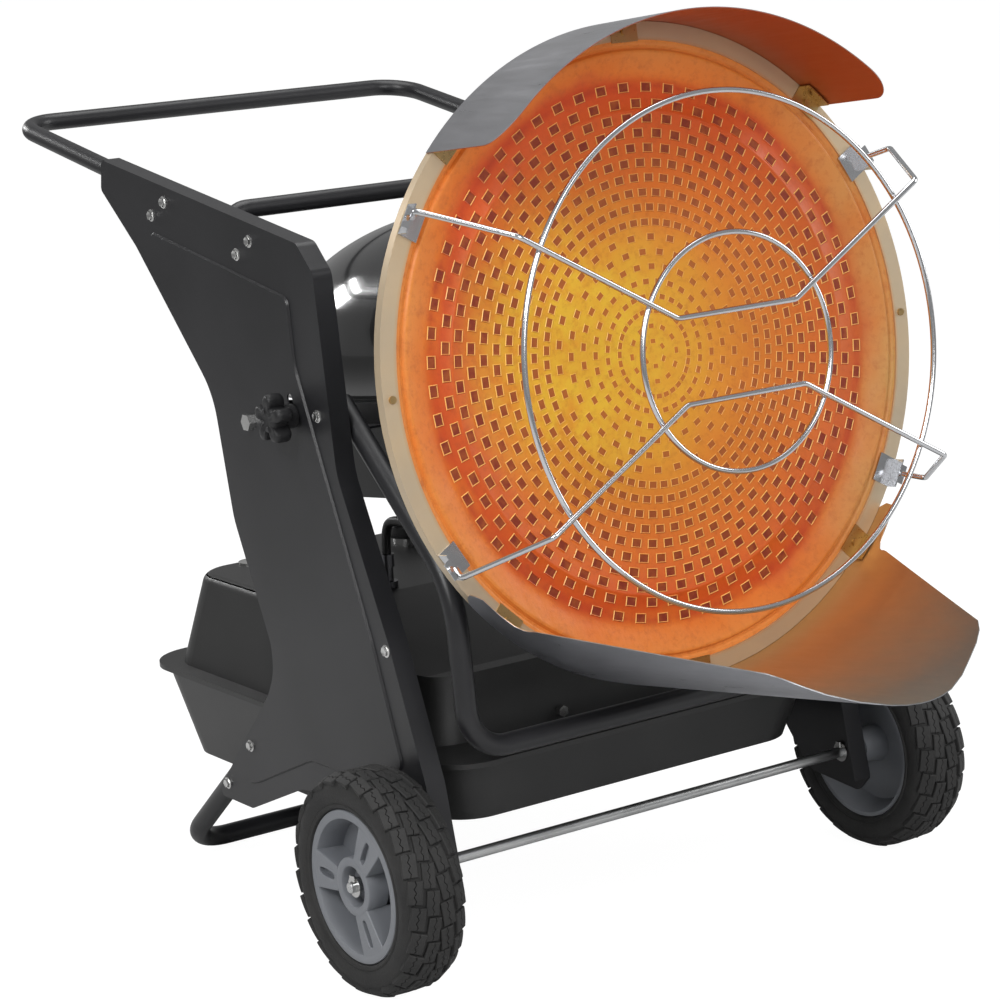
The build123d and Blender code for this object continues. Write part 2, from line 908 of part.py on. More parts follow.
# Deflectors: the upper one is a plain band, the lower one a long scoop with two ears.
deflector_gauge = 1.2
deflector_radius = ring_radius + 0.4
with BuildPart() as top_deflector:
    with BuildSketch(head.offset(-10)):
        Circle(deflector_radius + deflector_gauge)
        Circle(deflector_radius, mode=Mode.SUBTRACT)
    extrude(amount=142)
    with BuildSketch(head_profile):
        with BuildLine():
            FilletPolyline(
                (-268, -10),
                (-268, 132),
                (268, 132),
                (268, -10),
                radius=[4, 34, 34, 4],
                close=True,
            )
        make_face()
    extrude(amount=-400, mode=Mode.INTERSECT)
keep(top_deflector, "top_deflector")

scoop_reach = 380.0
band_depth = 18.0
scoop_outline = [
    (286, -8),
    (295, 10),
    (289, 26),
    (258, 30),
    (246, 54),
    (145, 308),
    (98, 344),
    (40, 376),
]
with BuildPart() as bottom_deflector:
    with BuildSketch(head.offset(-8)):
        with BuildLine():
            inner_arc = CenterArc((0, 0), deflector_radius, -146, 112)
            outer_arc = CenterArc((0, 0), deflector_radius + deflector_gauge, -146, 112)
            Line(inner_arc @ 0, outer_arc @ 0)
            Line(inner_arc @ 1, outer_arc @ 1)
        make_face()
    extrude(amount=8 + band_depth)
    for reach, radius, low, span in (
        (band_depth, deflector_radius, deflector_radius, 56),
        (scoop_reach, 188, 379, 62),
    ):
        with BuildSketch(head.offset(reach)):
            with BuildLine():
                inner_arc = CenterArc((0, radius - low), radius, -90 - span, 2 * span)
                outer_arc = CenterArc((0, radius - low), radius + deflector_gauge, -90 - span, 2 * span)
                Line(inner_arc @ 0, outer_arc @ 0)
                Line(inner_arc @ 1, outer_arc @ 1)
            make_face()
    loft(ruled=True)
    with BuildSketch(head_profile):
        with BuildLine():
            mirrored_side = [(-x, y) for x, y in reversed(scoop_outline)]
            FilletPolyline(
                *scoop_outline,
                *mirrored_side,
                radius=[4, 14, 8, 14, 20, 30, 60, 60, 60, 60, 30, 20, 14, 8, 14, 4],
                close=True,
            )
        make_face()
    extrude(amount=420, mode=Mode.INTERSECT)
keep(bottom_deflector, "bottom_deflector")

# Guard: two rings and two bent wires held in four clips.
for name, radius in (("guard_large_ring", guard_large_radius), ("guard_small_ring", guard_small_radius)):
    with BuildPart() as guard_ring:
        with BuildSketch(head_profile):
            with Locations((radius, guard_plane)):
                Circle(guard_wire)
        revolve(axis=head_axis)
    keep(guard_ring, name)

wire_plane = guard_plane + 2 * guard_wire + 0.1
for name, way in (("guard_upper_wire", 1), ("guard_lower_wire", -1)):
    right_half = [
        on_head(315, way * 186, 20),
        on_head(326, way * 192, 46),
        on_head(271, way * 155, wire_plane),
        on_head(81, way * 46, wire_plane),
    ]
    left_half = [Vector(-p.X, p.Y, p.Z) for p in reversed(right_half)]
    keep(bent_tube([*right_half, *left_half], [8, 10, 14, 14, 10, 8], guard_wire), name)

with BuildPart() as guard_clips:
    for angle in (30.5, 149.5, -30.5, -149.5):
        clip = head * Rot(Z=angle)
        with BuildSketch(Plane(clip)):
            with Locations((353, 0)):
                Rectangle(24, 34)
        extrude(amount=1.6)
        with BuildSketch(Plane(clip)):
            with Locations((364.2, 0)):
                Rectangle(1.6, 34)
        extrude(amount=16)
        with BuildSketch(Plane(clip * Pos(Z=14.4))):
            with Locations((368, 0)):
                Rectangle(9, 22)
        extrude(amount=1.6)
keep(guard_clips, "guard_clips")

tab_angles = (46, 90, 134, -46, -90, -134)
with BuildPart() as deflector_tabs:
    for angle in tab_angles:
        tab = head * Rot(Z=angle)
        with BuildSketch(Plane(tab)):
            with Locations((354.4, 0)):
                Rectangle(20.8, 36)
        extrude(amount=1.2)
        with BuildSketch(Plane(tab)):
            with Locations((364.2, 0)):
                Rectangle(1.2, 36)
        extrude(amount=18)
keep(deflector_tabs, "deflector_tabs")

with BuildPart() as rim_screws:
    for angle in (0, 180, *tab_angles):
        seat = 0.0 if angle in (0, 180) else 1.2
        with BuildSketch(Plane(head * Rot(Z=angle) * Pos(355, 0, seat))):
            Circle(4.2)
        extrude(amount=2.6)
keep(rim_screws, "rim_screws")
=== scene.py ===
# %% [markdown]
# # A radiant kerosene heater on a two-wheeled cart
#
# A burner blows a flame behind a round sheet of perforated steel, the sheet glows, and the
# glow warms whatever stands in front of it. Two curved deflectors aim the heat, a wire guard
# keeps hands off, and the tank below holds the fuel. This lesson dresses the CAD model of
# that heater: it keeps the solids that are already right, replaces the ones that deserve more
# detail, and gives every surface a finish made only of shader nodes.

# %% Load the frame
import json
from math import asin, cos, pi, radians, sin, sqrt

import bmesh
import bpy
from mathutils import Matrix, Vector


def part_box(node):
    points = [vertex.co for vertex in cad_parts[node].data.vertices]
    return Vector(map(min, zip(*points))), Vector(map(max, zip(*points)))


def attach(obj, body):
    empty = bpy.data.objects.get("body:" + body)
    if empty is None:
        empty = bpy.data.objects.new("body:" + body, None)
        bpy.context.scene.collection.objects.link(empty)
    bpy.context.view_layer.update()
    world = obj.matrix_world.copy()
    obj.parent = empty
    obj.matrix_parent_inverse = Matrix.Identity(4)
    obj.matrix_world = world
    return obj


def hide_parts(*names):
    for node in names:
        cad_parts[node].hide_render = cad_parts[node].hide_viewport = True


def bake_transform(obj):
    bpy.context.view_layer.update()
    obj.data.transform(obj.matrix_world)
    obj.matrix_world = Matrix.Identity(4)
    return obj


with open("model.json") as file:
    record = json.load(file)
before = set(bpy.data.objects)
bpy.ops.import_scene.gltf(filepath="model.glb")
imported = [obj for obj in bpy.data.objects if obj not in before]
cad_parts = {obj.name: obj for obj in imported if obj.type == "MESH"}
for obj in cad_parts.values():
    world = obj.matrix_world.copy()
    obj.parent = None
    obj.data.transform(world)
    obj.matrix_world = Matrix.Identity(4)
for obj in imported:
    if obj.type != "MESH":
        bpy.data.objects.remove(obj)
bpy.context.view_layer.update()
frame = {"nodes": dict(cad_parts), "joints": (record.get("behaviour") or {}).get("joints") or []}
print("pieces from the frame:", len(frame["nodes"]))

# %% [markdown]
# ## Where things are
#
# The emitter leans back on its own axis, so its rings, wires and deflectors are easiest to
# describe as "across, up the face, out of the face". The blower turns on that axis, so its
# joint gives the direction, and the emitter ring's box gives the centre of the face.

# %% The emitter's own directions
MM = 0.001
joints = {joint["name"]: joint for joint in frame["joints"]}
out = Vector(joints["fan_spin"]["axis"]).normalized()
across = Vector((1, 0, 0))
up = out.cross(across)
BLOWER_BEHIND_FACE = 345 * MM
centre = Vector(joints["fan_spin"]["pos_m"]) + BLOWER_BEHIND_FACE * out
axle = Vector(joints["left_wheel_spin"]["pos_m"])
axle.x = 0.0


def on_face(x, y, z):
    """A point given across, up and out of the emitter's face, in metres."""
    return centre + x * across + y * up + z * out


def turned(radius, angle, z):
    """A point at a radius and an angle round the emitter's axis, in metres and radians."""
    return on_face(radius * cos(angle), radius * sin(angle), z)


def placed(name, data):
    """An object that holds data, in the scene."""
    thing = bpy.data.objects.new(name, data)
    bpy.context.scene.collection.objects.link(thing)
    return thing


SIDES = ((-1, "left"), (1, "right"))
print("emitter centre:", [round(v, 4) for v in centre])

# %% [markdown]
# ## The camera
#
# The photograph was taken from the front left, a little above the heater, with a long lens.
# A camera looks along its own -Z, so its three axes are written as the columns of a matrix.

# %% Camera
EYE = Vector((-1.99611, axle.y - 2.69526, 1.20633))
YAW, PITCH, ROLL = radians(34.0664), radians(11.8577), radians(-3.4247)
forward = Vector((sin(YAW) * cos(PITCH), cos(YAW) * cos(PITCH), -sin(PITCH)))
level = Vector((cos(YAW), -sin(YAW), 0))
above = level.cross(forward)
side_way = cos(ROLL) * level + sin(ROLL) * above
top_way = cos(ROLL) * above - sin(ROLL) * level
camera_data = bpy.data.cameras.new("camera")
camera_data.lens = 107.92
camera_data.sensor_width = 36.0
camera = placed("camera", camera_data)
camera.matrix_world = Matrix(
    (
        (side_way.x, top_way.x, -forward.x, EYE.x),
        (side_way.y, top_way.y, -forward.y, EYE.y),
        (side_way.z, top_way.z, -forward.z, EYE.z),
        (0, 0, 0, 1),
    )
)
bpy.context.scene.camera = camera
bpy.context.scene.view_settings.view_transform = "Standard"
print("lens", camera_data.lens, "mm")

# %% [markdown]
# ## Shader maths as plain expressions
#
# A shader's arithmetic is easier to read as `1 - mask * 0.4` than as five boxes. `Wire` wraps
# one socket, and each operator on it adds one Math node. `Finish` owns a material: its method
# `node` adds any other node from its type, its settings and its sockets.


# %% Wire and Finish
class Wire:
    """An output socket of a shader tree on which + - * / and ** add Math nodes."""

    def __init__(self, tree, socket):
        self.tree = tree
        self.socket = socket

    def maths(self, operation, first, second, clamp=False):
        node = self.tree.nodes.new("ShaderNodeMath")
        node.operation = operation
        node.use_clamp = clamp
        plug(self.tree, node.inputs[0], first)
        plug(self.tree, node.inputs[1], second)
        return Wire(self.tree, node.outputs[0])

    def __add__(self, other):
        return self.maths("ADD", self, other)

    def __radd__(self, other):
        return self.maths("ADD", other, self)

    def __sub__(self, other):
        return self.maths("SUBTRACT", self, other)

    def __rsub__(self, other):
        return self.maths("SUBTRACT", other, self)

    def __mul__(self, other):
        return self.maths("MULTIPLY", self, other)

    def __rmul__(self, other):
        return self.maths("MULTIPLY", other, self)

    def __truediv__(self, other):
        return self.maths("DIVIDE", self, other)

    def __pow__(self, other):
        return self.maths("POWER", self, other)

    def least(self, other):
        return self.maths("MINIMUM", self, other)

    def most(self, other):
        return self.maths("MAXIMUM", self, other)

    def step(self, low, high):
        """0 below low, 1 above high, straight between them."""
        return self.maths("MULTIPLY", self - low, 1 / (high - low), clamp=True)

    def bump_at(self, place, width):
        """1 at a place, falling to 0 a width away on both sides."""
        away = self.maths("ABSOLUTE", self - place, 0)
        return 1 - away.step(0, width)


def plug(tree, socket, value):
    """Links a wire to a socket, or sets the socket's own value."""
    if isinstance(value, Wire):
        tree.links.new(value.socket, socket)
    elif hasattr(socket.default_value, "__len__") and len(socket.default_value) == 4 and len(value) == 3:
        socket.default_value = (*value, 1)
    else:
        socket.default_value = value


class Finish:
    """A node material for one of the heater's finishes."""

    def __init__(self, name, **steady):
        self.material = bpy.data.materials.new(name)
        self.material.use_nodes = True
        self.tree = self.material.node_tree
        self.shader = next(n for n in self.tree.nodes if n.type == "BSDF_PRINCIPLED")
        for socket, value in steady.items():
            self.set(socket.replace("_", " "), value)
        self.place = self.node("ShaderNodeTexCoord", {}, {}, "Object")

    def set(self, socket, value):
        plug(self.tree, self.shader.inputs[socket], value)

    def node(self, kind, settings, sockets, result=0):
        """Adds a node; settings come first, then its sockets by name or identifier."""
        node = self.tree.nodes.new(kind)
        for key, value in settings.items():
            if key == "stops":
                ramp(node, value)
            else:
                setattr(node, key, value)
        for key, value in sockets.items():
            socket = next(s for s in node.inputs if key in (s.identifier, s.name))
            plug(self.tree, socket, value)
        if isinstance(result, str):
            chosen = next(s for s in node.outputs if result in (s.identifier, s.name))
        else:
            chosen = node.outputs[result]
        return Wire(self.tree, chosen)

    def noise(self, scale, detail=3.0, rough=0.5, stretch=None):
        """Soft random values from 0 to 1 over the object's own coordinates."""
        place = self.place
        if stretch:
            place = self.node("ShaderNodeMapping", {}, {"Vector": place, "Scale": stretch})
        sockets = {"Vector": place, "Scale": scale, "Detail": detail, "Roughness": rough}
        return self.node("ShaderNodeTexNoise", {}, sockets, "Fac")

    def mix(self, share, low, high):
        """A colour between low and high."""
        sockets = {"Factor_Float": share, "A_Color": low, "B_Color": high}
        return self.node("ShaderNodeMix", {"data_type": "RGBA"}, sockets, "Result_Color")

    def along(self, direction, origin=(0, 0, 0)):
        """Distance from origin along a direction."""
        offset = Vector(origin).dot(Vector(direction))
        product = self.node(
            "ShaderNodeVectorMath",
            {"operation": "DOT_PRODUCT"},
            {"Vector": self.place, "Vector_001": tuple(direction)},
            "Value",
        )
        return product - offset

    def bump(self, height, distance, strength=1.0):
        """Turns a height into small relief, in metres."""
        sockets = {"Height": height, "Distance": distance, "Strength": strength}
        self.set("Normal", self.node("ShaderNodeBump", {}, sockets, "Normal"))


def ramp(node, stops):
    """Fills a colour ramp with (place, colour) stops."""
    elements = node.color_ramp.elements
    while len(elements) < len(stops):
        elements.new(0.5)
    for element, (place, colour) in zip(elements, stops):
        element.position = place
        element.color = (*colour, 1)


print("shader helpers ready")

# %% [markdown]
# ## Painted, plated and moulded finishes
#
# Most of the cart is black, but five blacks: satin powder paint on the panels and tubes, a
# flatter one on the tank, gloss enamel on the burner cover, grained plastic on the knobs and
# rubber on the hose. They differ in roughness and relief more than in colour.

# %% Blacks
def paint(name, colour, rough, grain, relief, coat=0.0):
    """Black paint: a faint cloudiness, roughness that varies, and fine orange peel."""
    finish = Finish(name, Coat_Weight=coat, Specular_IOR_Level=0.5)
    cloud = finish.noise(7.0, 4.0)
    fine = finish.noise(grain, 2.0)
    dust = finish.noise(2.3, 5.0, 0.6)
    lighter = tuple(c * 1.5 + 0.004 for c in colour)
    finish.set("Base Color", finish.mix(cloud.step(0.3, 0.75), colour, lighter))
    finish.set("Roughness", rough + (dust - 0.5) * 0.16 + (fine - 0.5) * 0.06)
    finish.bump(fine, relief)
    return finish


satin_black = paint("satin_black", (0.011, 0.011, 0.0125), 0.34, 1400.0, 0.00012)
tank_black = paint("tank_black", (0.013, 0.013, 0.013), 0.4, 900.0, 0.00016)
gloss_black = paint("gloss_black", (0.006, 0.006, 0.0065), 0.13, 500.0, 0.00002, coat=0.6)
moulded_black = paint("moulded_black", (0.011, 0.011, 0.012), 0.42, 1800.0, 0.0002)
hose_black = paint("hose_black", (0.009, 0.009, 0.009), 0.45, 700.0, 0.0002)


# %% [markdown]
# Zinc plate is bright but never quite even: it has fine crystals and slight smears. Grey
# wheel plastic is nearly flat, with moulded grain. Tyre rubber is dry and dusty in its grooves.

# %% Metals, plastic and rubber
def metal(name, colour, rough, streak=None, relief=0.00003, swing=0.2):
    """Bare or plated metal with cloudy brightness and fine marks."""
    finish = Finish(name, Metallic=1.0)
    cloud = finish.noise(22.0, 4.0)
    marks = finish.noise(260.0, 3.0, 0.6, streak)
    darker = tuple(c * (1 - swing) for c in colour)
    finish.set("Base Color", finish.mix(cloud.step(0.3, 0.7), darker, colour))
    finish.set("Roughness", rough + (marks - 0.5) * swing + (cloud - 0.5) * swing / 2)
    finish.bump(marks, relief)
    return finish


zinc = metal("zinc", (0.74, 0.74, 0.73), 0.22)
bright_wire = metal("bright_wire", (0.72, 0.73, 0.75), 0.17, relief=0.000005, swing=0.08)
axle_steel = metal("axle_steel", (0.7, 0.71, 0.71), 0.3, (0.02, 1.0, 1.0))
tan_steel = metal("tan_steel", (0.62, 0.42, 0.19), 0.3)
dark_steel = metal("dark_steel", (0.16, 0.16, 0.17), 0.35)
cast_aluminium = metal("cast_aluminium", (0.6, 0.6, 0.6), 0.45)
gauge_metal = metal("gauge_metal", (0.82, 0.82, 0.8), 0.14)

hub_plastic = Finish("hub_plastic")
hub_cloud = hub_plastic.noise(9.0, 4.0)
hub_grain = hub_plastic.noise(1500.0, 2.0)
hub_shade = hub_plastic.mix(hub_cloud.step(0.3, 0.7), (0.19, 0.20, 0.22), (0.24, 0.25, 0.27))
hub_plastic.set("Base Color", hub_shade)
hub_plastic.set("Roughness", 0.42 + (hub_cloud - 0.5) * 0.12)
hub_plastic.bump(hub_grain, 0.00015)

tyre_rubber = Finish("tyre_rubber")
rubber_cloud = tyre_rubber.noise(16.0, 5.0, 0.6)
rubber_grain = tyre_rubber.noise(420.0, 3.0)
dusty = tyre_rubber.mix(rubber_cloud.step(0.35, 0.8), (0.014, 0.014, 0.014), (0.032, 0.031, 0.03))
tyre_rubber.set("Base Color", dusty)
tyre_rubber.set("Roughness", 0.68 + (rubber_grain - 0.5) * 0.2)
tyre_rubber.bump(rubber_grain + rubber_cloud * 0.5, 0.0004)
print("plain finishes ready")

# %% [markdown]
# ## Finishes of the hot parts
#
# Heat colours steel: straw at the edges, orange where it glows, red where the sheet is
# cooler, and a yellow-green patch where the flame strikes. These colours follow the distance
# from the emitter's axis, so the material works out that radius from the object coordinates.

# %% Hot finishes
def face_place(finish):
    """Across, up and radius on the emitter's face, as wires, in millimetres."""
    x = finish.along(across, centre) * 1000
    y = finish.along(up, centre) * 1000
    return x, y, (x * x + y * y) ** 0.5


PLATE_REACH = 345
PLATE_STOPS = [
    (0.0, (0.66, 0.28, 0.030)),
    (0.22, (0.67, 0.29, 0.027)),
    (0.42, (0.64, 0.20, 0.022)),
    (0.66, (0.63, 0.145, 0.017)),
    (0.78, (0.60, 0.10, 0.014)),
    (0.845, (0.55, 0.075, 0.013)),
    (0.90, (0.68, 0.17, 0.02)),
    (1.0, (0.70, 0.24, 0.05)),
]


def plate_colour(finish):
    """The glowing sheet's heat colours, with its fine noise, its radius and its cloudiness."""
    x, y, radius = face_place(finish)
    cloud = finish.noise(5.0, 4.0, 0.55)
    fine = finish.noise(38.0, 4.0, 0.6)
    scale = finish.noise(120.0, 5.0, 0.7)
    wander = radius + (cloud - 0.5) * 90 + (fine - 0.5) * 22
    share = wander / PLATE_REACH
    colour = finish.node("ShaderNodeValToRGB", {"stops": PLATE_STOPS}, {"Fac": share}, "Color")
    off = ((x + 92) * (x + 92) + (y - 22) * (y - 22)) ** 0.5 + (cloud - 0.5) * 110
    yellow = (1 - off.step(70, 190)) * fine.step(0.2, 0.6)
    olive = x.step(170, 330) * radius.step(292, 316) * cloud.step(0.3, 0.6)
    burnt = y.step(110, 290) * (1 - radius.step(298, 312))
    colour = finish.mix(yellow * 0.85, colour, (0.72, 0.45, 0.03))
    colour = finish.mix(x.step(90, 320) * 0.45, colour, (0.44, 0.13, 0.03))
    colour = finish.mix(olive * 0.8, colour, (0.50, 0.32, 0.11))
    colour = finish.mix(burnt * 0.5, colour, (0.60, 0.07, 0.013))
    colour = finish.mix(radius.bump_at(297, 9) * fine.step(0.3, 0.6) * 0.7, colour, (0.42, 0.035, 0.012))
    stain = (scale.step(0.5, 0.75) * 0.35 + fine.step(0.55, 0.8) * radius.step(180, 300) * 0.5).least(0.8)
    return finish.mix(stain, colour, (0.34, 0.055, 0.013)), fine, radius, cloud


# Emission Strength adds a faint painted glow in the sheet's own colours, which keeps them bright where the
# sheet is shaded.
hot_plate = Finish("hot_plate", Specular_IOR_Level=0.3, Emission_Strength=0.08)
colour, fine, _, cloud = plate_colour(hot_plate)
hot_plate.set("Base Color", colour)
hot_plate.set("Emission Color", colour)
hot_plate.set("Roughness", 0.42 + (fine - 0.5) * 0.3)
hot_plate.bump(fine + cloud, 0.001)

lip_heat_and_painted_light = Finish("lip_heat_and_painted_light", Specular_IOR_Level=0.4, Emission_Strength=0.1)
colour, fine, radius, _ = plate_colour(lip_heat_and_painted_light)
catch = lip_heat_and_painted_light.node("ShaderNodeAttribute", {"attribute_name": "catch"}, {}, "Fac")
# Painted highlight on lip faces turned towards CATCH_LIGHT, then painted shade on faces turned away; the
# emission is a faint painted glow.
lip = lip_heat_and_painted_light.mix(catch.step(0.0, 0.9) * (0.25 + radius.step(40, 220) * 0.6), colour, (0.90, 0.56, 0.16))
lip = lip_heat_and_painted_light.mix((catch * -1).step(0.0, 0.8) * radius.step(40, 200) * 0.8, lip, (0.26, 0.045, 0.012))
lip_heat_and_painted_light.set("Base Color", lip)
lip_heat_and_painted_light.set("Emission Color", lip)
lip_heat_and_painted_light.set("Roughness", 0.36 + (fine - 0.5) * 0.2)

# The pocket floors are painted shade: a dark face where the hollow behind each window is in shade, darker
# towards the rim, with a faint painted glow from the emission.
pocket_painted_shade = Finish("pocket_painted_shade", Specular_IOR_Level=0.3, Emission_Strength=0.08)
radius = face_place(pocket_painted_shade)[2]
shade = pocket_painted_shade.noise(90.0, 3.0)
deep = pocket_painted_shade.mix(radius.step(30, 250), (0.48, 0.155, 0.022), (0.21, 0.026, 0.011))
deep = pocket_painted_shade.mix(shade.step(0.4, 0.7) * 0.45, deep, (0.44, 0.12, 0.02))
pocket_painted_shade.set("Base Color", deep)
pocket_painted_shade.set("Emission Color", deep)
pocket_painted_shade.set("Roughness", 0.55 + (shade - 0.5) * 0.2)

rim_tan = Finish("rim_tan")
_, y, radius = face_place(rim_tan)
cloud = rim_tan.noise(9.0, 4.0, 0.6)
fine = rim_tan.noise(180.0, 3.0, 0.6)
straw = (y.step(-200, 330) * 0.25 + cloud.step(0.35, 0.7) * 0.5).least(1)
rim_colour = rim_tan.mix(straw, (0.58, 0.48, 0.35), (0.62, 0.45, 0.26))
rim_colour = rim_tan.mix((1 - radius.step(341, 350)) * 0.8, rim_colour, (0.68, 0.28, 0.05))
rim_tan.set("Base Color", rim_colour)
rim_tan.set("Metallic", 0.55 - straw * 0.25)
rim_tan.set("Roughness", 0.36 + (fine - 0.5) * 0.2 + (cloud - 0.5) * 0.12)
rim_tan.bump(fine, 0.00006)

sheet_steel = metal("sheet_steel", (0.55, 0.55, 0.56), 0.32, (1.0, 0.06, 1.0))
print("hot finishes ready")

# %% [markdown]
# ## From points and faces to a piece
#
# Every new piece goes through the same three steps: a mesh is made where it belongs, it gets a finish, and
# it is told which body of the mechanism it rides on, and the solids that it stands for are hidden.


# %% Making and seating a piece
DOUBLES = 0.00001


def plain(name, points, faces):
    """An object straight from points and faces, with nothing turned or merged."""
    mesh = bpy.data.meshes.new(name)
    mesh.from_pydata([tuple(p) for p in points], [], faces)
    return placed(name, mesh)


def smoothed(piece, merge=0.0):
    """Merges points closer than merge, turns the faces outwards and shades them smooth."""
    work = bmesh.new()
    work.from_mesh(piece.data)
    if merge:
        bmesh.ops.remove_doubles(work, verts=work.verts, dist=merge)
    bmesh.ops.recalc_face_normals(work, faces=work.faces)
    work.to_mesh(piece.data)
    work.free()
    for face in piece.data.polygons:
        face.use_smooth = True
    return piece


def solid(name, points, faces):
    """A smooth object with its doubles merged."""
    return smoothed(plain(name, points, faces), DOUBLES)


def belts(rings, sides, capped=False):
    """Faces between rings of points, each ring closed on itself, the last one capped at will."""
    faces = []
    for ring in range(rings - 1):
        for k in range(sides):
            near, far = ring * sides + k, ring * sides + (k + 1) % sides
            faces.append((near, far, far + sides, near + sides))
    if capped:
        faces.append(tuple((rings - 1) * sides + k for k in range(sides)))
    return faces


def coated(data, finish):
    """Gives a mesh one finish and no other."""
    data.materials.clear()
    data.materials.append(finish.material)


def seat(piece, finish, body, slot, *replaced):
    """Finish, body and the solids that a piece stands for; slot is not used."""
    if finish:
        coated(piece.data, finish)
    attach(piece, body)
    if replaced:
        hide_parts(*replaced)
    return piece


def crisp(piece, angle=32):
    """Keeps edges sharper than an angle and smooths the rest."""
    piece.data.set_sharp_from_angle(angle=radians(angle))
    return piece


def spun(name, profile, turns=192, frame_at=turned):
    """A closed profile of (radius, distance along) swept round an axis, by default the emitter's."""
    points = [frame_at(r, 2 * pi * i / turns, z) for i in range(turns) for r, z in profile]
    count = len(profile)
    faces = []
    for i in range(turns):
        j = (i + 1) % turns
        for k in range(count):
            n = (k + 1) % count
            faces.append((i * count + k, j * count + k, j * count + n, i * count + n))
    return crisp(solid(name, points, faces))


# %% [markdown]
# ## One shape, many places
#
# Screws, perforations and tyre blocks are one small shape on many points. A short Geometry
# Nodes tree does that: every point carries its own turn, Instance on Points sets the shape
# there, and Realize Instances makes it real so that it can be exported. The result is taken
# off the evaluated object as a plain mesh, and the generator is thrown away.


# %% Geometry Nodes: a unit on every place
def repeat_tree(name):
    """Instance on Points with a unit object, a size and a finish as named inputs."""
    tree = bpy.data.node_groups.new(name, "GeometryNodeTree")
    kinds = {"Places": "Geometry", "Unit": "Object", "Size": "Float", "Finish": "Material"}
    for label, kind in kinds.items():
        tree.interface.new_socket(label, in_out="INPUT", socket_type="NodeSocket" + kind)
    tree.interface.new_socket("Pieces", in_out="OUTPUT", socket_type="NodeSocketGeometry")
    given = tree.nodes.new("NodeGroupInput")
    unit = tree.nodes.new("GeometryNodeObjectInfo")
    turn = tree.nodes.new("GeometryNodeInputNamedAttribute")
    turn.data_type = "FLOAT_VECTOR"
    turn.inputs["Name"].default_value = "turn"
    grow = tree.nodes.new("GeometryNodeInputNamedAttribute")
    grow.data_type = "FLOAT"
    grow.inputs["Name"].default_value = "grow"
    times = tree.nodes.new("ShaderNodeMath")
    times.operation = "MULTIPLY"
    scatter = tree.nodes.new("GeometryNodeInstanceOnPoints")
    real = tree.nodes.new("GeometryNodeRealizeInstances")
    coat = tree.nodes.new("GeometryNodeSetMaterial")
    result = tree.nodes.new("NodeGroupOutput")
    link = tree.links.new
    link(given.outputs["Unit"], unit.inputs["Object"])
    link(given.outputs["Places"], scatter.inputs["Points"])
    link(unit.outputs["Geometry"], scatter.inputs["Instance"])
    link(turn.outputs["Attribute"], scatter.inputs["Rotation"])
    link(given.outputs["Size"], times.inputs[0])
    link(grow.outputs["Attribute"], times.inputs[1])
    link(times.outputs[0], scatter.inputs["Scale"])
    link(scatter.outputs["Instances"], real.inputs["Geometry"])
    link(real.outputs["Geometry"], coat.inputs["Geometry"])
    link(given.outputs["Finish"], coat.inputs["Material"])
    link(coat.outputs["Geometry"], result.inputs["Pieces"])
    return tree


unit_on_places = repeat_tree("unit_on_places")


def evaluated(thing):
    """A plain mesh of an object, as its modifiers or its curve make it."""
    bpy.context.view_layer.update()
    whole = thing.evaluated_get(bpy.context.evaluated_depsgraph_get())
    return bpy.data.meshes.new_from_object(whole)


def repeated(name, unit, places, finish, size=1.0):
    """A copy of unit at every place; a place is a matrix. The unit is used up."""
    spots = bpy.data.meshes.new(name + "_places")
    spots.from_pydata([place.translation for place in places], [], [])
    spots.attributes.new("turn", "FLOAT_VECTOR", "POINT")
    spots.attributes.new("grow", "FLOAT", "POINT")
    turns, grows = spots.attributes["turn"], spots.attributes["grow"]
    for item, large, place in zip(turns.data, grows.data, places):
        item.vector = place.to_euler()
        large.value = place.to_scale().x
    maker = placed(name + "_maker", spots)
    modifier = maker.modifiers.new("repeat", "NODES")
    modifier.node_group = unit_on_places
    wanted = {"Unit": unit, "Size": size, "Finish": finish.material}
    for item in unit_on_places.interface.items_tree:
        if item.in_out == "INPUT" and item.name in wanted:
            modifier[item.identifier] = wanted[item.name]
    mesh = evaluated(maker)
    mesh.name = name
    for old in (maker, unit):
        bpy.data.objects.remove(old)
    print(name, len(places), "places,", len(mesh.polygons), "faces")
    return placed(name, mesh)


def face_matrix(radius, angle, z, spin=0.0):
    """A place on the emitter: x outwards, y round the axis, z out of the face."""
    turn = Matrix((across, up, out)).transposed().to_4x4() @ Matrix.Rotation(angle + spin, 4, "Z")
    return Matrix.Translation(turned(radius, angle, z)) @ turn


# %% [markdown]
# ## The perforated emitter
#
# The glowing sheet is a shallow dish: a flat middle full of punched pockets, a sloping edge
# and a groove under the rim. Near the outside there are sixty pockets in a row, half as many
# further in and only a few round the middle, so that their spacing stays even.

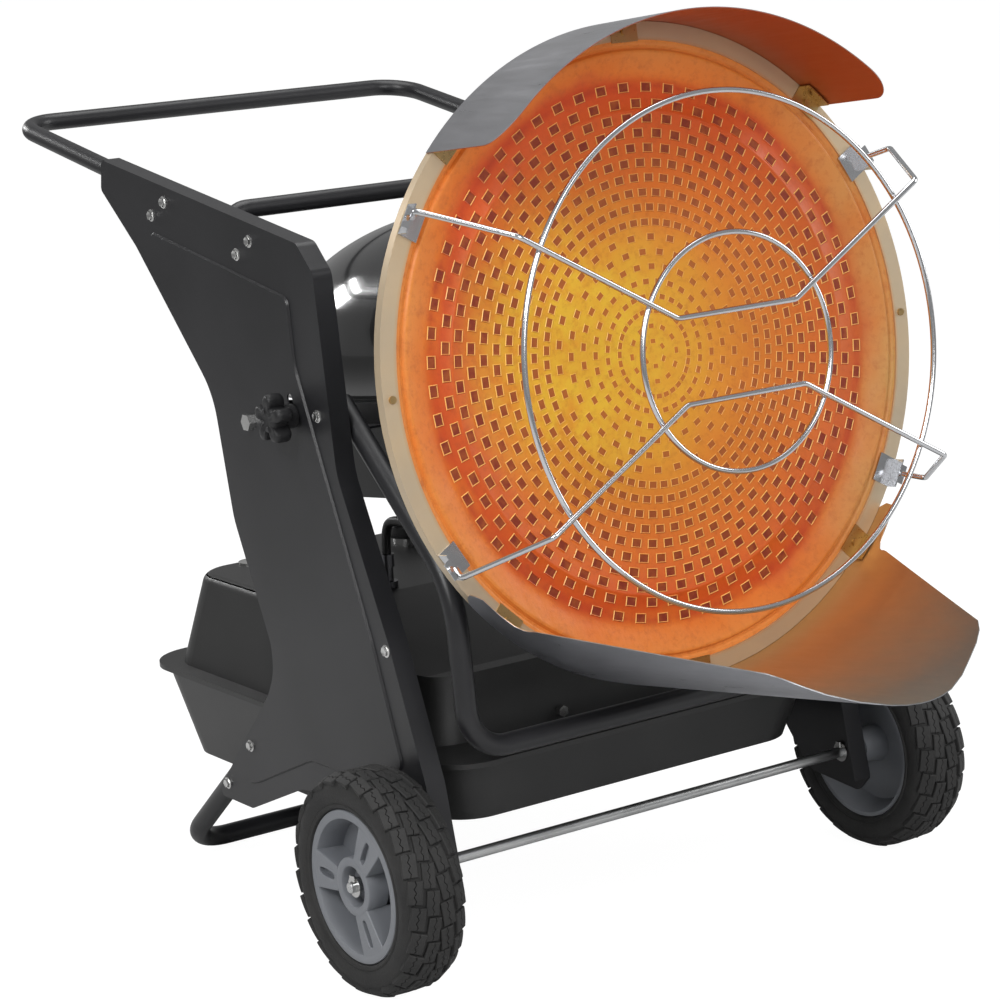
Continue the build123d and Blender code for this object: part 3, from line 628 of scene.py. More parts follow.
# %% Emitter dish
RIM_INNER = 341 * MM
DISH_EDGE = 336 * MM
FLAT_RADIUS = 303 * MM
FLAT_DEPTH = -12 * MM
RIDGE_RADIUS = 269 * MM
dish_profile = [
    (363.5 * MM, -3.7 * MM),
    (363.5 * MM, -2.2 * MM),
    (RIM_INNER + 1.5 * MM, -2.2 * MM),
    (RIM_INNER, -2.8 * MM),
    (RIM_INNER - 1.5 * MM, -4.6 * MM),
    (DISH_EDGE + 1.2 * MM, -4.8 * MM),
    (DISH_EDGE, -3.0 * MM),
    (DISH_EDGE - 1.4 * MM, -1.4 * MM),
    (DISH_EDGE - 3 * MM, -1.0 * MM),
    (DISH_EDGE - 5 * MM, -1.4 * MM),
    (FLAT_RADIUS + 10 * MM, FLAT_DEPTH + 3.6 * MM),
    (FLAT_RADIUS + 4 * MM, FLAT_DEPTH + 1.2 * MM),
    (FLAT_RADIUS - 2 * MM, FLAT_DEPTH),
    (RIDGE_RADIUS + 3 * MM, FLAT_DEPTH),
    (RIDGE_RADIUS + 1 * MM, FLAT_DEPTH + 1.2 * MM),
    (RIDGE_RADIUS - 1 * MM, FLAT_DEPTH + 1.2 * MM),
    (RIDGE_RADIUS - 3 * MM, FLAT_DEPTH),
    (150 * MM, FLAT_DEPTH),
    (60 * MM, FLAT_DEPTH),
    (0.02 * MM, FLAT_DEPTH),
    (0.02 * MM, FLAT_DEPTH - 1.5 * MM),
    (FLAT_RADIUS, FLAT_DEPTH - 1.5 * MM),
    (DISH_EDGE - 3 * MM, -2.6 * MM),
    (DISH_EDGE + 1 * MM, -7.0 * MM),
]
dish = spun("emitter_dish", dish_profile)
seat(dish, hot_plate, "heater_head", "orange_plate", "emitter_plate")

# %% [markdown]
# A pocket is a punched window, longer round the circle than across it, with a rolled lip.
# A lip is twelve faces, and a value stored on each face, catch, says how far it faces the light: the lip
# finish paints a highlight on faces turned towards it and shade on faces turned away.
# The floor behind it is one dark face, painted shade in the pocket's hollow. Pockets are smaller towards
# the middle.

# %% Pockets
POCKET_LONG = 12.2 * MM
POCKET_WIDE = 9.0 * MM
LIP = 1.0 * MM
ROW_PITCH = 16.4
CATCH_LIGHT = (0.75 * across - 0.65 * up).normalized()


def pocket_lip():
    """A raised rectangular lip, open in the middle, in its own frame."""
    points = []
    for grow, height in ((LIP * 1.2, 0.0), (LIP * 0.5, 0.9 * MM), (0.0, 0.7 * MM), (-LIP * 0.3, 0.1 * MM)):
        w, h = POCKET_WIDE / 2 + grow, POCKET_LONG / 2 + grow
        points += [(-w, -h, height), (w, -h, height), (w, h, height), (-w, h, height)]
    return points, belts(4, 4)


def pocket_floor():
    """The dark floor seen through a pocket: painted shade in its hollow."""
    w, h = POCKET_WIDE / 2, POCKET_LONG / 2
    return [(-w, -h, 0.15 * MM), (w, -h, 0.15 * MM), (w, h, 0.15 * MM), (-w, h, 0.15 * MM)], [(0, 1, 2, 3)]


pocket_rows = [(295, 60), (277, 60), (261, 60)]
pocket_rows += [(261 - ROW_PITCH * k, 60) for k in range(1, 8)]
pocket_rows += [(261 - ROW_PITCH * k, 30) for k in range(8, 14)] + [(31, 12), (14, 6)]
pocket_places = []
for number, (radius, count) in enumerate(pocket_rows):
    smaller = Matrix.Scale(min(1.0, 0.70 + 0.30 * (radius - 100) / 150), 4)
    for k in range(count):
        angle = 2 * pi * (k + 0.5 * (number % 2)) / count
        pocket_places.append(face_matrix(radius * MM, angle, FLAT_DEPTH) @ smaller)
lips = repeated("pocket_lips", plain("lip_unit", *pocket_lip()), pocket_places, lip_heat_and_painted_light)
shade_floors = repeated("pocket_floors", plain("floor_unit", *pocket_floor()), pocket_places, pocket_painted_shade)
catches = lips.data.attributes.new("catch", "FLOAT", "FACE")
for item, face in zip(catches.data, lips.data.polygons):
    item.value = -1.6 * face.normal.dot(CATCH_LIGHT)
for piece in (lips, shade_floors):
    seat(piece, None, "heater_head", "orange_plate")

# %% [markdown]
# ## Deflectors
#
# Both deflectors are thin steel rolled round the emitter. The upper one is a plain band with
# round front corners. The lower one opens forwards as a long scoop, with an ear on each side
# where it is screwed to the rim. Each is a grid of points on its inner face and another on its
# outer face, and a stored value called inside tells the finish which face it is on.


# %% Rolled sheets
def rolled_sheet(name, place, rows, columns, gauge):
    """A closed thin sheet; place(row, share, thickness) gives a point, share from -1 to 1."""
    points, inside, faces = [], [], []
    for depth in (0.0, gauge):
        for row in rows:
            for k in range(columns + 1):
                points.append(place(row, 2 * k / columns - 1, depth))
                inside.append(0.0 if depth else 1.0)
    wide = columns + 1
    layer = len(rows) * wide
    for i in range(len(rows) - 1):
        for k in range(columns):
            a = i * wide + k
            faces.append((a, a + 1, a + wide + 1, a + wide))
            faces.append((a + layer, a + wide + layer, a + wide + 1 + layer, a + 1 + layer))
    border = [k for k in range(columns)]
    border += [i * wide + columns for i in range(len(rows) - 1)]
    border += [(len(rows) - 1) * wide + k for k in range(columns, 0, -1)]
    border += [i * wide for i in range(len(rows) - 1, 0, -1)]
    for first, second in zip(border, border[1:] + border[:1]):
        faces.append((first, first + layer, second + layer, second))
    piece = plain(name, points, faces)
    values = piece.data.attributes.new("inside", "FLOAT", "POINT")
    values.data.foreach_set("value", inside)
    return crisp(smoothed(piece))


GAUGE = 1.2 * MM
SHEET_STEPS = 96
BAND_RADIUS = 366.4 * MM
BAND_HALF = 268 * MM
BAND_BACK, BAND_FRONT, BAND_CORNER = -10 * MM, 132 * MM, 34 * MM
SCOOP_BAND, SCOOP_REACH, SCOOP_END, SCOOP_LOW = 18 * MM, 380 * MM, 188 * MM, 363 * MM


def band_place(z, share, depth):
    """The upper deflector."""
    past = max(0.0, z - (BAND_FRONT - BAND_CORNER))
    half = BAND_HALF - BAND_CORNER + sqrt(max(0.0, BAND_CORNER**2 - past**2))
    x = share * half
    angle = asin(x / BAND_RADIUS)
    radius = BAND_RADIUS + depth
    return on_face(radius * sin(angle), radius * cos(angle), z)


band_rows = [BAND_BACK + (BAND_FRONT - BAND_CORNER - BAND_BACK) * k / 12 for k in range(13)]
band_rows += [BAND_FRONT - BAND_CORNER * (1 - sin(pi / 2 * k / 12)) for k in range(1, 13)]

scoop_edge = [(286, -8), (292, 0), (295, 9), (294, 18), (289, 25), (272, 28), (259, 32)]
scoop_edge += [(252, 38), (249, 44), (248, 50), (246, 56), (145, 308), (134, 321), (118, 332)]
scoop_edge += [(98, 342), (70, 358), (42, 371), (24, 375.6), (8, 377.2)]


def scoop_half(z):
    """Half the scoop's width at a distance out of the face."""
    for (w0, z0), (w1, z1) in zip(scoop_edge, scoop_edge[1:]):
        if z <= z1 * MM:
            return (w0 + (w1 - w0) * (z / MM - z0) / (z1 - z0)) * MM
    return scoop_edge[-1][0] * MM


def scoop_place(z, share, depth):
    """The lower deflector: a band that narrows into a cone."""
    grown = max(0.0, z - SCOOP_BAND) / (SCOOP_REACH - SCOOP_BAND)
    radius = BAND_RADIUS + (SCOOP_END - BAND_RADIUS) * grown
    low = BAND_RADIUS + (SCOOP_LOW - BAND_RADIUS) * grown
    angle = asin(max(-0.999, min(0.999, share * scoop_half(z) / radius)))
    return on_face((radius + depth) * sin(angle), radius - low - (radius + depth) * cos(angle), z)


scoop_rows = [z * MM for _, z in scoop_edge[:11]]
scoop_rows += [(56 + 14 * k) * MM for k in range(1, 18)]
scoop_rows += [z * MM for _, z in scoop_edge[11:]]

# %% Deflector finishes
def deflector_finish(name, outer, tint_and_glow, cool, share):
    """Brushed steel outside; inside, colours that fade as share says: heat tint, and on the scoop also the
    emitter's glow painted as a reflection.
    """
    finish = Finish(name)
    streak = finish.noise(120.0, 4.0, 0.6, (1.0, 0.05, 1.0))
    cloud = finish.noise(4.5, 4.0, 0.55)
    smear = finish.noise(14.0, 5.0, 0.65, (1.0, 0.4, 1.0))
    inside = finish.node("ShaderNodeAttribute", {"attribute_name": "inside"}, {}, "Fac")
    x = finish.along(across, centre) * 1000
    reach = finish.along(out, centre) * 1000
    faded = (share(x, reach) + (cloud - 0.5) * 0.5 + (smear - 0.5) * 0.25).least(1).most(0)
    inner_tint_and_glow = finish.mix(faded, tint_and_glow, cool)
    silver = finish.mix(smear.step(0.3, 0.7), tuple(c * 0.8 for c in outer), outer)
    finish.set("Base Color", finish.mix(inside, silver, inner_tint_and_glow))
    finish.set("Metallic", 0.92 - inside * 0.3)
    finish.set("Roughness", 0.32 + inside * 0.1 + (streak - 0.5) * 0.22 + (smear - 0.5) * 0.12)
    finish.bump(streak, 0.00004)
    return finish


band_steel = deflector_finish(
    "band_steel",
    (0.42, 0.42, 0.44),
    (0.46, 0.075, 0.017),
    (0.44, 0.15, 0.04),
    lambda x, reach: x.step(60, 330) * 0.7,
)
# Inside the scoop, the orange near the emitter is partly heat tint and partly the emitter's glow painted
# as a reflection; it fades out of the face.
scoop_steel = deflector_finish(
    "scoop_steel",
    (0.42, 0.425, 0.46),
    (0.58, 0.31, 0.11),
    (0.17, 0.18, 0.16),
    lambda x, reach: reach.step(60, 330),
)
band = rolled_sheet("band_deflector", band_place, band_rows, SHEET_STEPS, GAUGE)
seat(band, band_steel, "heater_head", "pan_steel", "top_deflector")
scoop = rolled_sheet("scoop_deflector", scoop_place, scoop_rows, SHEET_STEPS, GAUGE)
seat(scoop, scoop_steel, "heater_head", "pan_steel", "bottom_deflector")

# %% [markdown]
# ## Tyres
#
# Each wheel carries a small pneumatic tyre with a chunky tread. The carcass is one profile
# turned round the axle, and the tread is a block repeated in four rows: two down the middle
# and one on each shoulder, where the blocks lean over the edge.

# %% Carcass and tread
RIM_RADIUS = 86.9 * MM
TYRE_RADIUS = axle.z
TREAD_DEPTH = 3.2 * MM
tyre_low, tyre_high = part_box("right_tyre")
TYRE_MIDDLE = (tyre_low.x + tyre_high.x) / 2
TYRE_HALF = (tyre_high.x - tyre_low.x) / 2


def wheel_place(side):
    """Points round the axle for one wheel: radius, angle and distance from its middle plane."""

    def place(radius, angle, offset):
        y, z = axle.y + radius * cos(angle), axle.z + radius * sin(angle)
        return Vector((side * (TYRE_MIDDLE + offset), y, z))

    return place


def tread_block(along_axle, round_tyre, height):
    """A tread block that follows the tyre, with a zigzag sipe, x along the axle, z outwards."""
    w, h, c, sunk = along_axle / 2, round_tyre / 2, 0.8 * MM, -2.5 * MM
    sipe, deep = 0.55 * MM, height - 1.6 * MM
    across_block = [(-w - 0.3 * MM, sunk), (-w, height - c), (-w + c, height), (-sipe, height), (0, deep)]
    across_block += [(sipe, height), (w - c, height), (w, height - c), (w + 0.3 * MM, sunk)]
    stations = [(-h - 0.3 * MM, sunk), (-h, height - c), (-h + c, height)]
    stations += [(h * k / 3, height) for k in range(-2, 3)]
    stations += [(h - c, height), (h, height - c), (h + 0.3 * MM, sunk)]
    points, faces = [], []
    for row, (y, top) in enumerate(stations):
        for x, z in across_block:
            sway = 1.3 * MM * (row % 2 * 2 - 1) if abs(x) < w - 2 * c and 2 < row < 8 else 0.0
            points.append((x + sway, y, min(z, top) - y * y / (2 * TYRE_RADIUS)))
    wide = len(across_block)
    for row in range(len(stations) - 1):
        for k in range(wide - 1):
            a = row * wide + k
            faces.append((a, a + 1, a + wide + 1, a + wide))
    return points, faces


carcass_profile = [
    (RIM_RADIUS, -TYRE_HALF + 5 * MM),
    (RIM_RADIUS + 2 * MM, -TYRE_HALF + 1.6 * MM),
    (RIM_RADIUS + 5 * MM, -TYRE_HALF + 0.6 * MM),
    (RIM_RADIUS + 7 * MM, -TYRE_HALF + 1.8 * MM),
    (RIM_RADIUS + 9 * MM, -TYRE_HALF + 0.7 * MM),
    (RIM_RADIUS + 17 * MM, -TYRE_HALF + 0.1 * MM),
    (RIM_RADIUS + 24 * MM, -TYRE_HALF + 0.9 * MM),
    (TYRE_RADIUS - 11.5 * MM, -TYRE_HALF + 3.4 * MM),
    (TYRE_RADIUS - 8.0 * MM, -TYRE_HALF + 7.4 * MM),
    (TYRE_RADIUS - 5.6 * MM, -TYRE_HALF + 12.5 * MM),
    (TYRE_RADIUS - 4.2 * MM, -TYRE_HALF + 19 * MM),
    (TYRE_RADIUS - 3.6 * MM, 0.0),
]
carcass_profile += [(r, -z) for r, z in reversed(carcass_profile[:-1])]
TREAD_COUNT = 26
for side, word in SIDES:
    place = wheel_place(side)
    carcass = spun(f"{word}_tyre_carcass", carcass_profile, turns=96, frame_at=place)
    seat(carcass, tyre_rubber, f"{word}_wheel", "tyre_rubber", f"{word}_tyre")
    for row, offset, size, lean in (("shoulder", 26.8, (17, 26), 27), ("middle", 9.2, (15.8, 27.6), 2)):
        places = []
        for way in (-1, 1):
            for k in range(TREAD_COUNT):
                angle = 2 * pi * (k + 0.25 * way + (0.5 if row == "middle" else 0)) / TREAD_COUNT
                depth = TYRE_RADIUS - (7.2 if row == "shoulder" else 4.0) * MM
                spot = place(depth, angle, way * offset * MM)
                turn = Matrix.Rotation(angle - pi / 2, 4, "X")
                lean_over = Matrix.Rotation(radians(side * way * lean), 4, "Y")
                skew = Matrix.Rotation(radians(9 * way * side), 4, "Z")
                places.append(Matrix.Translation(spot) @ turn @ lean_over @ skew)
        unit = plain("tread_unit", *tread_block(size[0] * MM, size[1] * MM, TREAD_DEPTH))
        blocks = repeated(f"{word}_tread_{row}", unit, places, tyre_rubber)
        seat(blocks, None, f"{word}_wheel", "tyre_rubber")

# %% [markdown]
# ## Wheel hubs
#
# The moulded hub has a wide rim face, a deep barrel, a boss round the bush and three slotted
# spokes that widen towards the rim. A thin web closes the barrel halfway in.

# %% Hubs
SPOKE_IN, SPOKE_OUT, HUB_FACE = 30.0, 78.5, 33.4
SPOKE_NARROW, SPOKE_WIDE, SPOKE_TURN, RAYS = 14.0, 23.5, 3, 24
SLOT_MIDDLE, SLOT_HALF, SLOT_WIDTH = 54.0, 15.5, 4.6
hub_rim_profile = [(86.6, -31.7), (86.6, 32.2), (85.8, 33.2), (83.5, 33.6), (78.0, 33.6)]
hub_rim_profile += [(76.6, 33.0), (76.0, 31.5), (73.0, 10.0), (71.0, 0.0), (71.0, -4.0), (82.0, -31.7)]
hub_web_profile = [(72.0, 2.0), (72.0, -2.0), (20.0, -2.0), (20.0, 2.0)]
hub_boss_profile = [(9.6, -31.7), (18.0, -31.7), (24.0, 0.0), (33.0, 8.0), (33.6, 31.6), (32.8, 33.1)]
hub_boss_profile += [(31.0, 33.7), (26.0, 33.7), (23.6, 32.8), (22.4, 30.5), (21.0, 17.0), (9.6, 17.0)]


def joined(name, *parts):
    """Several pieces as one object."""
    work = bmesh.new()
    for part in parts:
        work.from_mesh(part.data)
        bpy.data.objects.remove(part)
    mesh = bpy.data.meshes.new(name)
    work.to_mesh(mesh)
    work.free()
    return placed(name, mesh)


def spoke(name, place, turn):
    """A flared spoke with a rounded slot sunk in its face, from rays round the slot."""
    flare = (SPOKE_WIDE - SPOKE_NARROW) / (SPOKE_OUT - SPOKE_IN)
    rings = [(0.0, 1.0, False), (0.0, HUB_FACE - 0.9, False), (-0.9, HUB_FACE, False)]
    rings += [(0.8, HUB_FACE, True), (0.0, HUB_FACE - 0.8, True), (0.0, HUB_FACE - 7.0, True)]
    points = []
    for grow, offset, slotted in rings:
        for k in range(RAYS):
            ray = 2 * pi * k / RAYS
            c, s = cos(ray), sin(ray)
            if slotted:
                wide = SLOT_WIDTH + grow
                a = (SLOT_HALF - SLOT_WIDTH) * max(-1, min(1, 1.6 * c)) + wide * c
                b = wide * s
            else:
                edge = SPOKE_NARROW + flare * (SLOT_MIDDLE - SPOKE_IN) + grow
                far = edge / max(1e-6, abs(s) - flare * c) if abs(s) > flare * c else 1e9
                if c > 0:
                    far = min(far, (SPOKE_OUT - SLOT_MIDDLE) / c)
                else:
                    far = min(far, (SPOKE_IN - SLOT_MIDDLE) / min(c, -1e-6))
                a, b = far * c, far * s
            r = sqrt((SLOT_MIDDLE + a) ** 2 + b * b)
            points.append(place(r * MM, turn + asin(b / r), offset * MM))
    return crisp(solid(name, points, belts(len(rings), RAYS, capped=True)))


for side, word in SIDES:
    place = wheel_place(side)
    parts = []
    for profile in (hub_rim_profile, hub_web_profile, hub_boss_profile):
        parts.append(spun("hub_part", [(r * MM, z * MM) for r, z in profile], turns=96, frame_at=place))
    parts += [spoke("hub_part", place, radians(SPOKE_TURN + 120 * k)) for k in range(3)]
    hub = joined(f"{word}_slotted_hub", *parts)
    seat(hub, hub_plastic, f"{word}_wheel", "grey_plastic", f"{word}_wheel_hub")

# %% [markdown]
# ## Burner cover
#
# Behind the emitter a long glossy dome covers the burner: a drum that ends in half an
# ellipsoid, cut along its seam and closed there by a plate that lies on the lower housing.

# %% Dome
DOME_RADIUS, DOME_START, DOME_LONG, DOME_SHEET = 184 * MM, -360 * MM, 380 * MM, 2 * MM
SEAM = -26 * MM
DRUM_FRONT = -106 * MM


def dome_line(sheet):
    """The dome's end from its tip to its drum, as radius and place, under a sheet thickness."""
    angles = [pi / 2 * k / 40 for k in range(41)]
    radius, length = DOME_RADIUS - sheet, DOME_LONG - sheet
    return [(radius * sin(a), DOME_START - length * cos(a)) for a in angles]


dome_profile = dome_line(0) + [(DOME_RADIUS, DRUM_FRONT), (DOME_RADIUS - DOME_SHEET, DRUM_FRONT)]
dome = spun("dome", dome_profile + dome_line(DOME_SHEET)[::-1], turns=160)
work = bmesh.new()
work.from_mesh(dome.data)
whole = list(work.verts) + list(work.edges) + list(work.faces)
cut = on_face(0, SEAM + DOME_SHEET / 2, 0)
bmesh.ops.bisect_plane(work, geom=whole, plane_co=cut, plane_no=up, clear_inner=True)
work.to_mesh(dome.data)
work.free()

seam_half = sqrt(DOME_RADIUS**2 - SEAM**2)
plate_half = seam_half + 1.5 * MM
tail_long = seam_half / DOME_RADIUS * DOME_LONG
tail = [pi / 2 * k / 24 for k in range(25)]
half_outline = [(plate_half, DRUM_FRONT)]
half_outline += [(plate_half * cos(a), DOME_START - tail_long * sin(a)) for a in tail]
outline = half_outline + [(-x, z) for x, z in reversed(half_outline)]
points = [on_face(x, SEAM + lift, z) for lift in (0.3 * MM, DOME_SHEET) for x, z in outline]
count = len(outline)
faces = [tuple(range(count)), tuple(range(count, 2 * count))] + belts(2, count)
seam_plate = crisp(solid("seam_plate", points, faces))
seat(joined("dome_cover", dome, seam_plate), gloss_black, "heater_head", "gloss_black", "burner_cover")

# %% [markdown]
# ## Star knobs
#
# Two five-lobed knobs lock the tilt. A lobed outline is a circle with five smaller circles
# round it, drawn as a radius that depends on the angle, and the profile rounds its edges.

# %% Knobs
KNOB_CORE, LOBE_REACH, LOBE_RADIUS = 15.5, 21.6, 7.9
KNOB_DEEP, KNOB_TURNS = 22 * MM, 90
knob_profile = [(0.0, 0.0), (0.72, 0.0), (0.9, 0.8), (0.98, 3.0), (1.0, 6.5), (1.0, 15.0), (0.98, 18.5)]
knob_profile += [(0.92, 20.8), (0.8, 21.8), (0.55, 21.9), (0.5, 21.0), (0.3, 20.6), (0.0, 20.6)]


def lobed_radius(angle):
    """The knob's outline, in millimetres, with its hollows filled a little."""
    lobe = 2 * pi / 5
    away = (angle - radians(18) + lobe / 2) % lobe - lobe / 2
    under = LOBE_RADIUS**2 - (LOBE_REACH * sin(away)) ** 2
    reach = LOBE_REACH * cos(away) + sqrt(under) if under > 0 else 0.0
    return max(KNOB_CORE, reach)


for side, word in SIDES:
    low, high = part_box(f"{word}_knob")
    base = max(abs(low.x), abs(high.x)) - KNOB_DEEP
    inner_x = min(abs(low.x), abs(high.x))
    y, z = joints[f"{word}_knob_turn"]["pos_m"][1:]

    def knob_place(radius, angle, x, side=side, y=y, z=z):
        return Vector((side * x, y + radius * cos(angle), z + radius * sin(angle)))

    points, faces = [], []
    for i in range(KNOB_TURNS):
        angle = 2 * pi * i / KNOB_TURNS
        for share, height in knob_profile:
            points.append(knob_place(share * lobed_radius(angle) * MM, angle, base + height * MM))
    count = len(knob_profile)
    for i in range(KNOB_TURNS):
        n = (i + 1) % KNOB_TURNS
        for k in range(count - 1):
            faces.append((i * count + k, n * count + k, n * count + k + 1, i * count + k + 1))
    star = crisp(solid(f"{word}_star_knob", points, faces), 40)
    seat(star, moulded_black, f"{word}_tilt_knob", "black_plastic", f"{word}_knob")
    stem_profile = [
        (0.01 * MM, inner_x),
        (5 * MM, inner_x),
        (5 * MM, base - 13.6 * MM),
        (13 * MM, base - 13.6 * MM),
        (14 * MM, base - 12.6 * MM),
        (14 * MM, base + 2 * MM),
        (0.01 * MM, base + 2 * MM),
    ]
    stem = spun(f"{word}_knob_stem", stem_profile, turns=40, frame_at=knob_place)
    seat(stem, moulded_black, f"{word}_tilt_knob", "black_plastic")

# %% [markdown]
# ## Panel bolts
#
# Flanged hex bolts hold the tubes to the panels. One bolt head is a small mesh, and both
# panels get the same eight.

# %% Bolts
BOLT_PLACES = [(507.5, 825.1), (474.4, 842.6), (307.3, 792.0), (276.8, 809.2)]
BOLT_PLACES += [(152.0, 620.7), (40.0, 369.6), (364.8, 192.1), (429.0, 131.2)]


def bolt_head():
    """A washer face, a hexagon and a shallow dish in its top, z out of the panel."""
    points, sides = [], 24
    rings = [(7.4, 0.0, 0), (7.4, 0.9, 0), (6.2, 1.4, 0)]
    rings += [(5.6, 1.5, 1), (5.6, 4.0, 1), (4.8, 4.5, 1), (2.4, 3.9, 0)]
    for radius, height, hexed in rings:
        for k in range(sides):
            angle = 2 * pi * k / sides
            flat = (angle + pi / 6) % (pi / 3) - pi / 6
            r = radius * (cos(pi / 6) / cos(flat) if hexed else 1.0)
            points.append((r * cos(angle) * MM, r * sin(angle) * MM, height * MM))
    return points, belts(len(rings), sides, capped=True)


PANEL_FACE = 310 * MM
bolt_places = []
for side in (-1, 1):
    for y, z in BOLT_PLACES:
        turn = Matrix.Rotation(side * pi / 2, 4, "Y") @ Matrix.Rotation(0.4 * y + z, 4, "Z")
        bolt_places.append(Matrix.Translation((side * PANEL_FACE, axle.y + y * MM, z * MM)) @ turn)
bolts = repeated("panel_bolts", plain("bolt_unit", *bolt_head()), bolt_places, zinc)
seat(crisp(bolts), None, "chassis", "zinc_steel", "panel_screws")

# %% [markdown]
# ## Fuel hose
#
# A short rubber hose joins the tank's outlet to the pump, which tilts with the burner. It is a smooth
# curve with a thickness.

# %% Hose
PUMP_ACROSS, PUMP_OUT = -100 * MM, -385 * MM
outlet_low, outlet_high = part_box("fuel_outlet")
outlet_top = outlet_high.z
hose_x = (outlet_low.x + outlet_high.x) / 2
outlet_y = (outlet_low.y + outlet_high.y) / 2
spout = on_face(PUMP_ACROSS, -158.4 * MM, PUMP_OUT)
below = on_face(PUMP_ACROSS, -186 * MM, PUMP_OUT)
hose_points = [
    (hose_x, outlet_y, outlet_top),
    (hose_x, outlet_y, outlet_top + 26 * MM),
    (hose_x, outlet_y - 14 * MM, outlet_top + 46 * MM),
    (hose_x, below.y + 16 * MM, below.z - 6 * MM),
    tuple(below),
    tuple(spout),
]
hose_curve = bpy.data.curves.new("fuel_line", "CURVE")
hose_curve.dimensions = "3D"
hose_curve.bevel_depth = 6 * MM
hose_curve.bevel_resolution = 5
hose_curve.resolution_u = 10
line = hose_curve.splines.new("NURBS")
line.points.add(len(hose_points) - 1)
for point, place in zip(line.points, hose_points):
    point.co = (*place, 1)
line.order_u = 3
line.use_endpoint_u = True
hose_draft = placed("fuel_line_draft", hose_curve)
hose_mesh = evaluated(hose_draft)
bpy.data.objects.remove(hose_draft)
coated(hose_mesh, hose_black)
hose = placed("fuel_line", hose_mesh)
tuple(hose_points[0])
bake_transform(hose)
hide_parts("fuel_hose")
print("hose faces:", len(hose_mesh.polygons))

# %% [markdown]
# ## Finishes for the solids that stay
#
# The remaining solids already have the right shape. Assigning a finish to a solid's material
# slot changes how it looks and leaves its mesh alone.

# %% Dress the solids
dress = {
    satin_black: "left_side_panel right_side_panel handle_tube upper_crossbar crossbar_brackets "
    "front_tube foot_tube cradle tank_brackets motor_plate",
    tank_black: "tank_upper_shell tank_lower_shell lower_housing",
    gloss_black: "burner_cover",
    moulded_black: "left_knob right_knob power_switch thermostat_dial control_box fuel_cap "
    "ignition_transformer electrodes",
    hose_black: "fuel_hose",
    zinc: "front_tube_spacers axle_spacers axle_washers split_pins panel_screws pivot_bolts "
    "drain_plug filler_neck left_wheel_bush right_wheel_bush",
    bright_wire: "guard_clips guard_large_ring guard_small_ring guard_upper_wire guard_lower_wire",
    axle_steel: "axle",
    tan_steel: "deflector_tabs rim_screws",
    dark_steel: "fuel_outlet nozzle pickup_tube",
    gauge_metal: "fuel_gauge",
    cast_aluminium: "fan_wheel fan_motor fuel_pump",
    sheet_steel: "back_pan flame_baffle flame_tube",
    hub_plastic: "left_wheel_hub right_wheel_hub",
    tyre_rubber: "left_tyre right_tyre",
    rim_tan: "emitter_ring",
    hot_plate: "emitter_plate",
    band_steel: "top_deflector",
    scoop_steel: "bottom_deflector",
}
dressed = set()
for finish, names in dress.items():
    for name in names.split():
        coated(frame["nodes"][name].data, finish)
        dressed.add(name)
print("solids without a finish:", sorted(set(frame["nodes"]) - dressed))

# %% [markdown]
# ## Floor and light
#
# A studio photograph of a black machine on white needs large soft lamps: what shapes black
# paint is what it mirrors. The floor shows as nearly white to the camera and keeps a soft
# shadow, and the world is white to the camera and grey to everything that it lights.

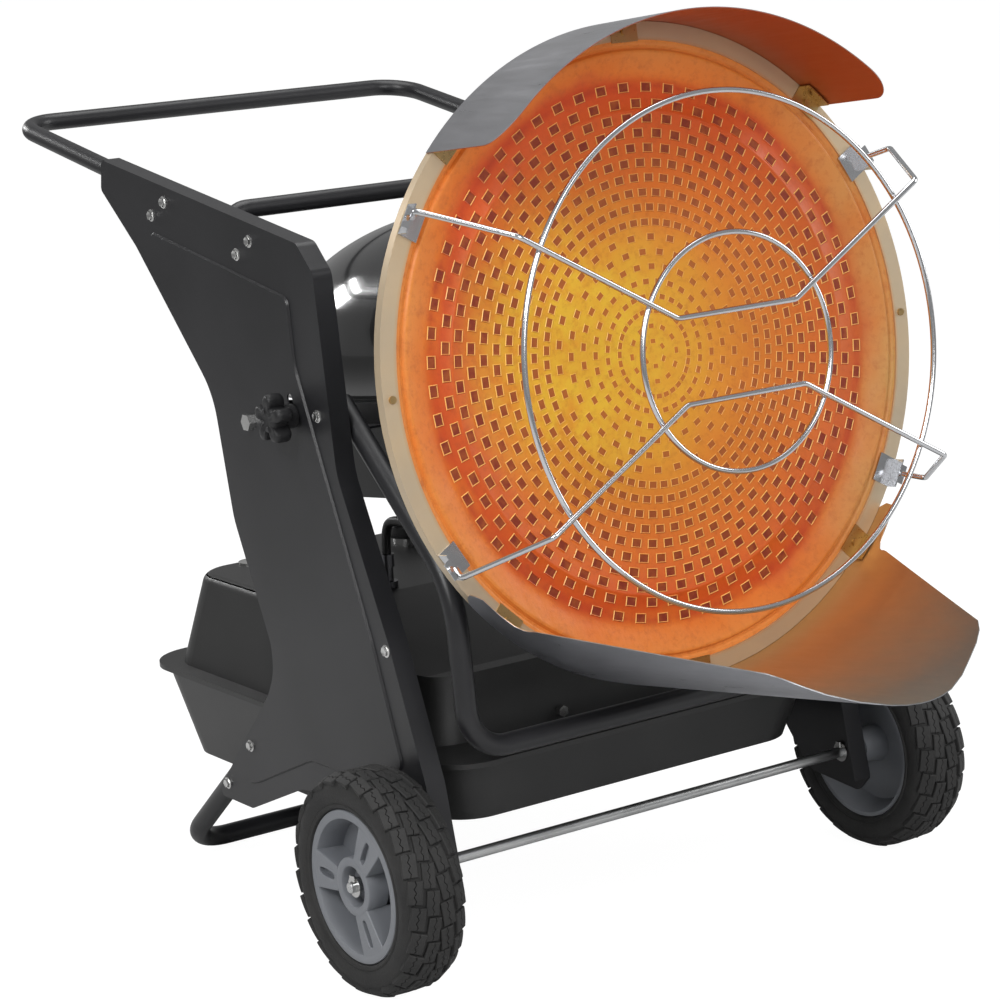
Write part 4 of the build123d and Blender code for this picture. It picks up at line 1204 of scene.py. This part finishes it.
# %% Floor
FLOOR_HALF, FLOOR_SINK = 80.0, -0.0008
floor_data = bpy.data.meshes.new("floor")
corners = [(-FLOOR_HALF, -FLOOR_HALF, 0), (FLOOR_HALF, -FLOOR_HALF, 0)]
corners += [(FLOOR_HALF, FLOOR_HALF, 0), (-FLOOR_HALF, FLOOR_HALF, 0)]
floor_data.from_pydata(corners, [], [(0, 1, 2, 3)])
floor = placed("floor", floor_data)
floor.location.z = FLOOR_SINK
floor_paper = bpy.data.materials.new("floor_paper")
floor_paper.use_nodes = True
tree = floor_paper.node_tree
shader = next(n for n in tree.nodes if n.type == "BSDF_PRINCIPLED")
shader.inputs["Base Color"].default_value = (0.6, 0.6, 0.6, 1)
shader.inputs["Roughness"].default_value = 0.9
shader.inputs["Specular IOR Level"].default_value = 0.1
white = tree.nodes.new("ShaderNodeEmission")
white.inputs["Color"].default_value = (1, 1, 1, 1)
ray = tree.nodes.new("ShaderNodeLightPath")
blend = tree.nodes.new("ShaderNodeMixShader")
white.inputs["Strength"].default_value = 1.22
seen = Wire(tree, ray.outputs["Is Camera Ray"]) * 0.8
plug(tree, blend.inputs[0], seen)
tree.links.new(shader.outputs[0], blend.inputs[1])
tree.links.new(white.outputs[0], blend.inputs[2])
surface = next(n for n in tree.nodes if n.type == "OUTPUT_MATERIAL")
tree.links.new(blend.outputs[0], surface.inputs["Surface"])
floor_data.materials.append(floor_paper)

# %% World and lamps
world = bpy.data.worlds.new("studio")
bpy.context.scene.world = world
world.use_nodes = True
tree = world.node_tree
backdrop = next(n for n in tree.nodes if n.type == "BACKGROUND")
backdrop.inputs["Color"].default_value = (1, 1, 1, 1)
ray = tree.nodes.new("ShaderNodeLightPath")
seen = Wire(tree, ray.outputs["Is Camera Ray"]).most(Wire(tree, ray.outputs["Is Transmission Ray"]))
plug(tree, backdrop.inputs["Strength"], 0.3 + seen * 0.7)


def lamp(name, place, aim, width, height, power):
    """A soft rectangular lamp at a place, pointing at a point."""
    data = bpy.data.lights.new(name, "AREA")
    data.shape = "RECTANGLE"
    data.size = width
    data.size_y = height
    data.energy = power
    light = placed(name, data)
    place, aim = Vector(place), Vector(aim)
    light.location = place
    light.rotation_euler = (aim - place).to_track_quat("-Z", "Y").to_euler()


middle = (0, 0, 0.5)
lamp("key_left", (-3.2, -1.6, 3.0), middle, 1.5, 1.5, 80)
lamp("front_soft", (-0.4, -4.2, 2.4), middle, 2.4, 1.8, 70)
lamp("right_soft", (3.4, -1.5, 1.8), middle, 1.4, 2.0, 42)
lamp("top_soft", (0.2, 0.6, 3.6), middle, 2.6, 2.6, 62)
lamp("dome_soft", (-0.63, 2.96, 1.61), (-0.15, 0.13, 0.72), 0.5, 0.42, 14)
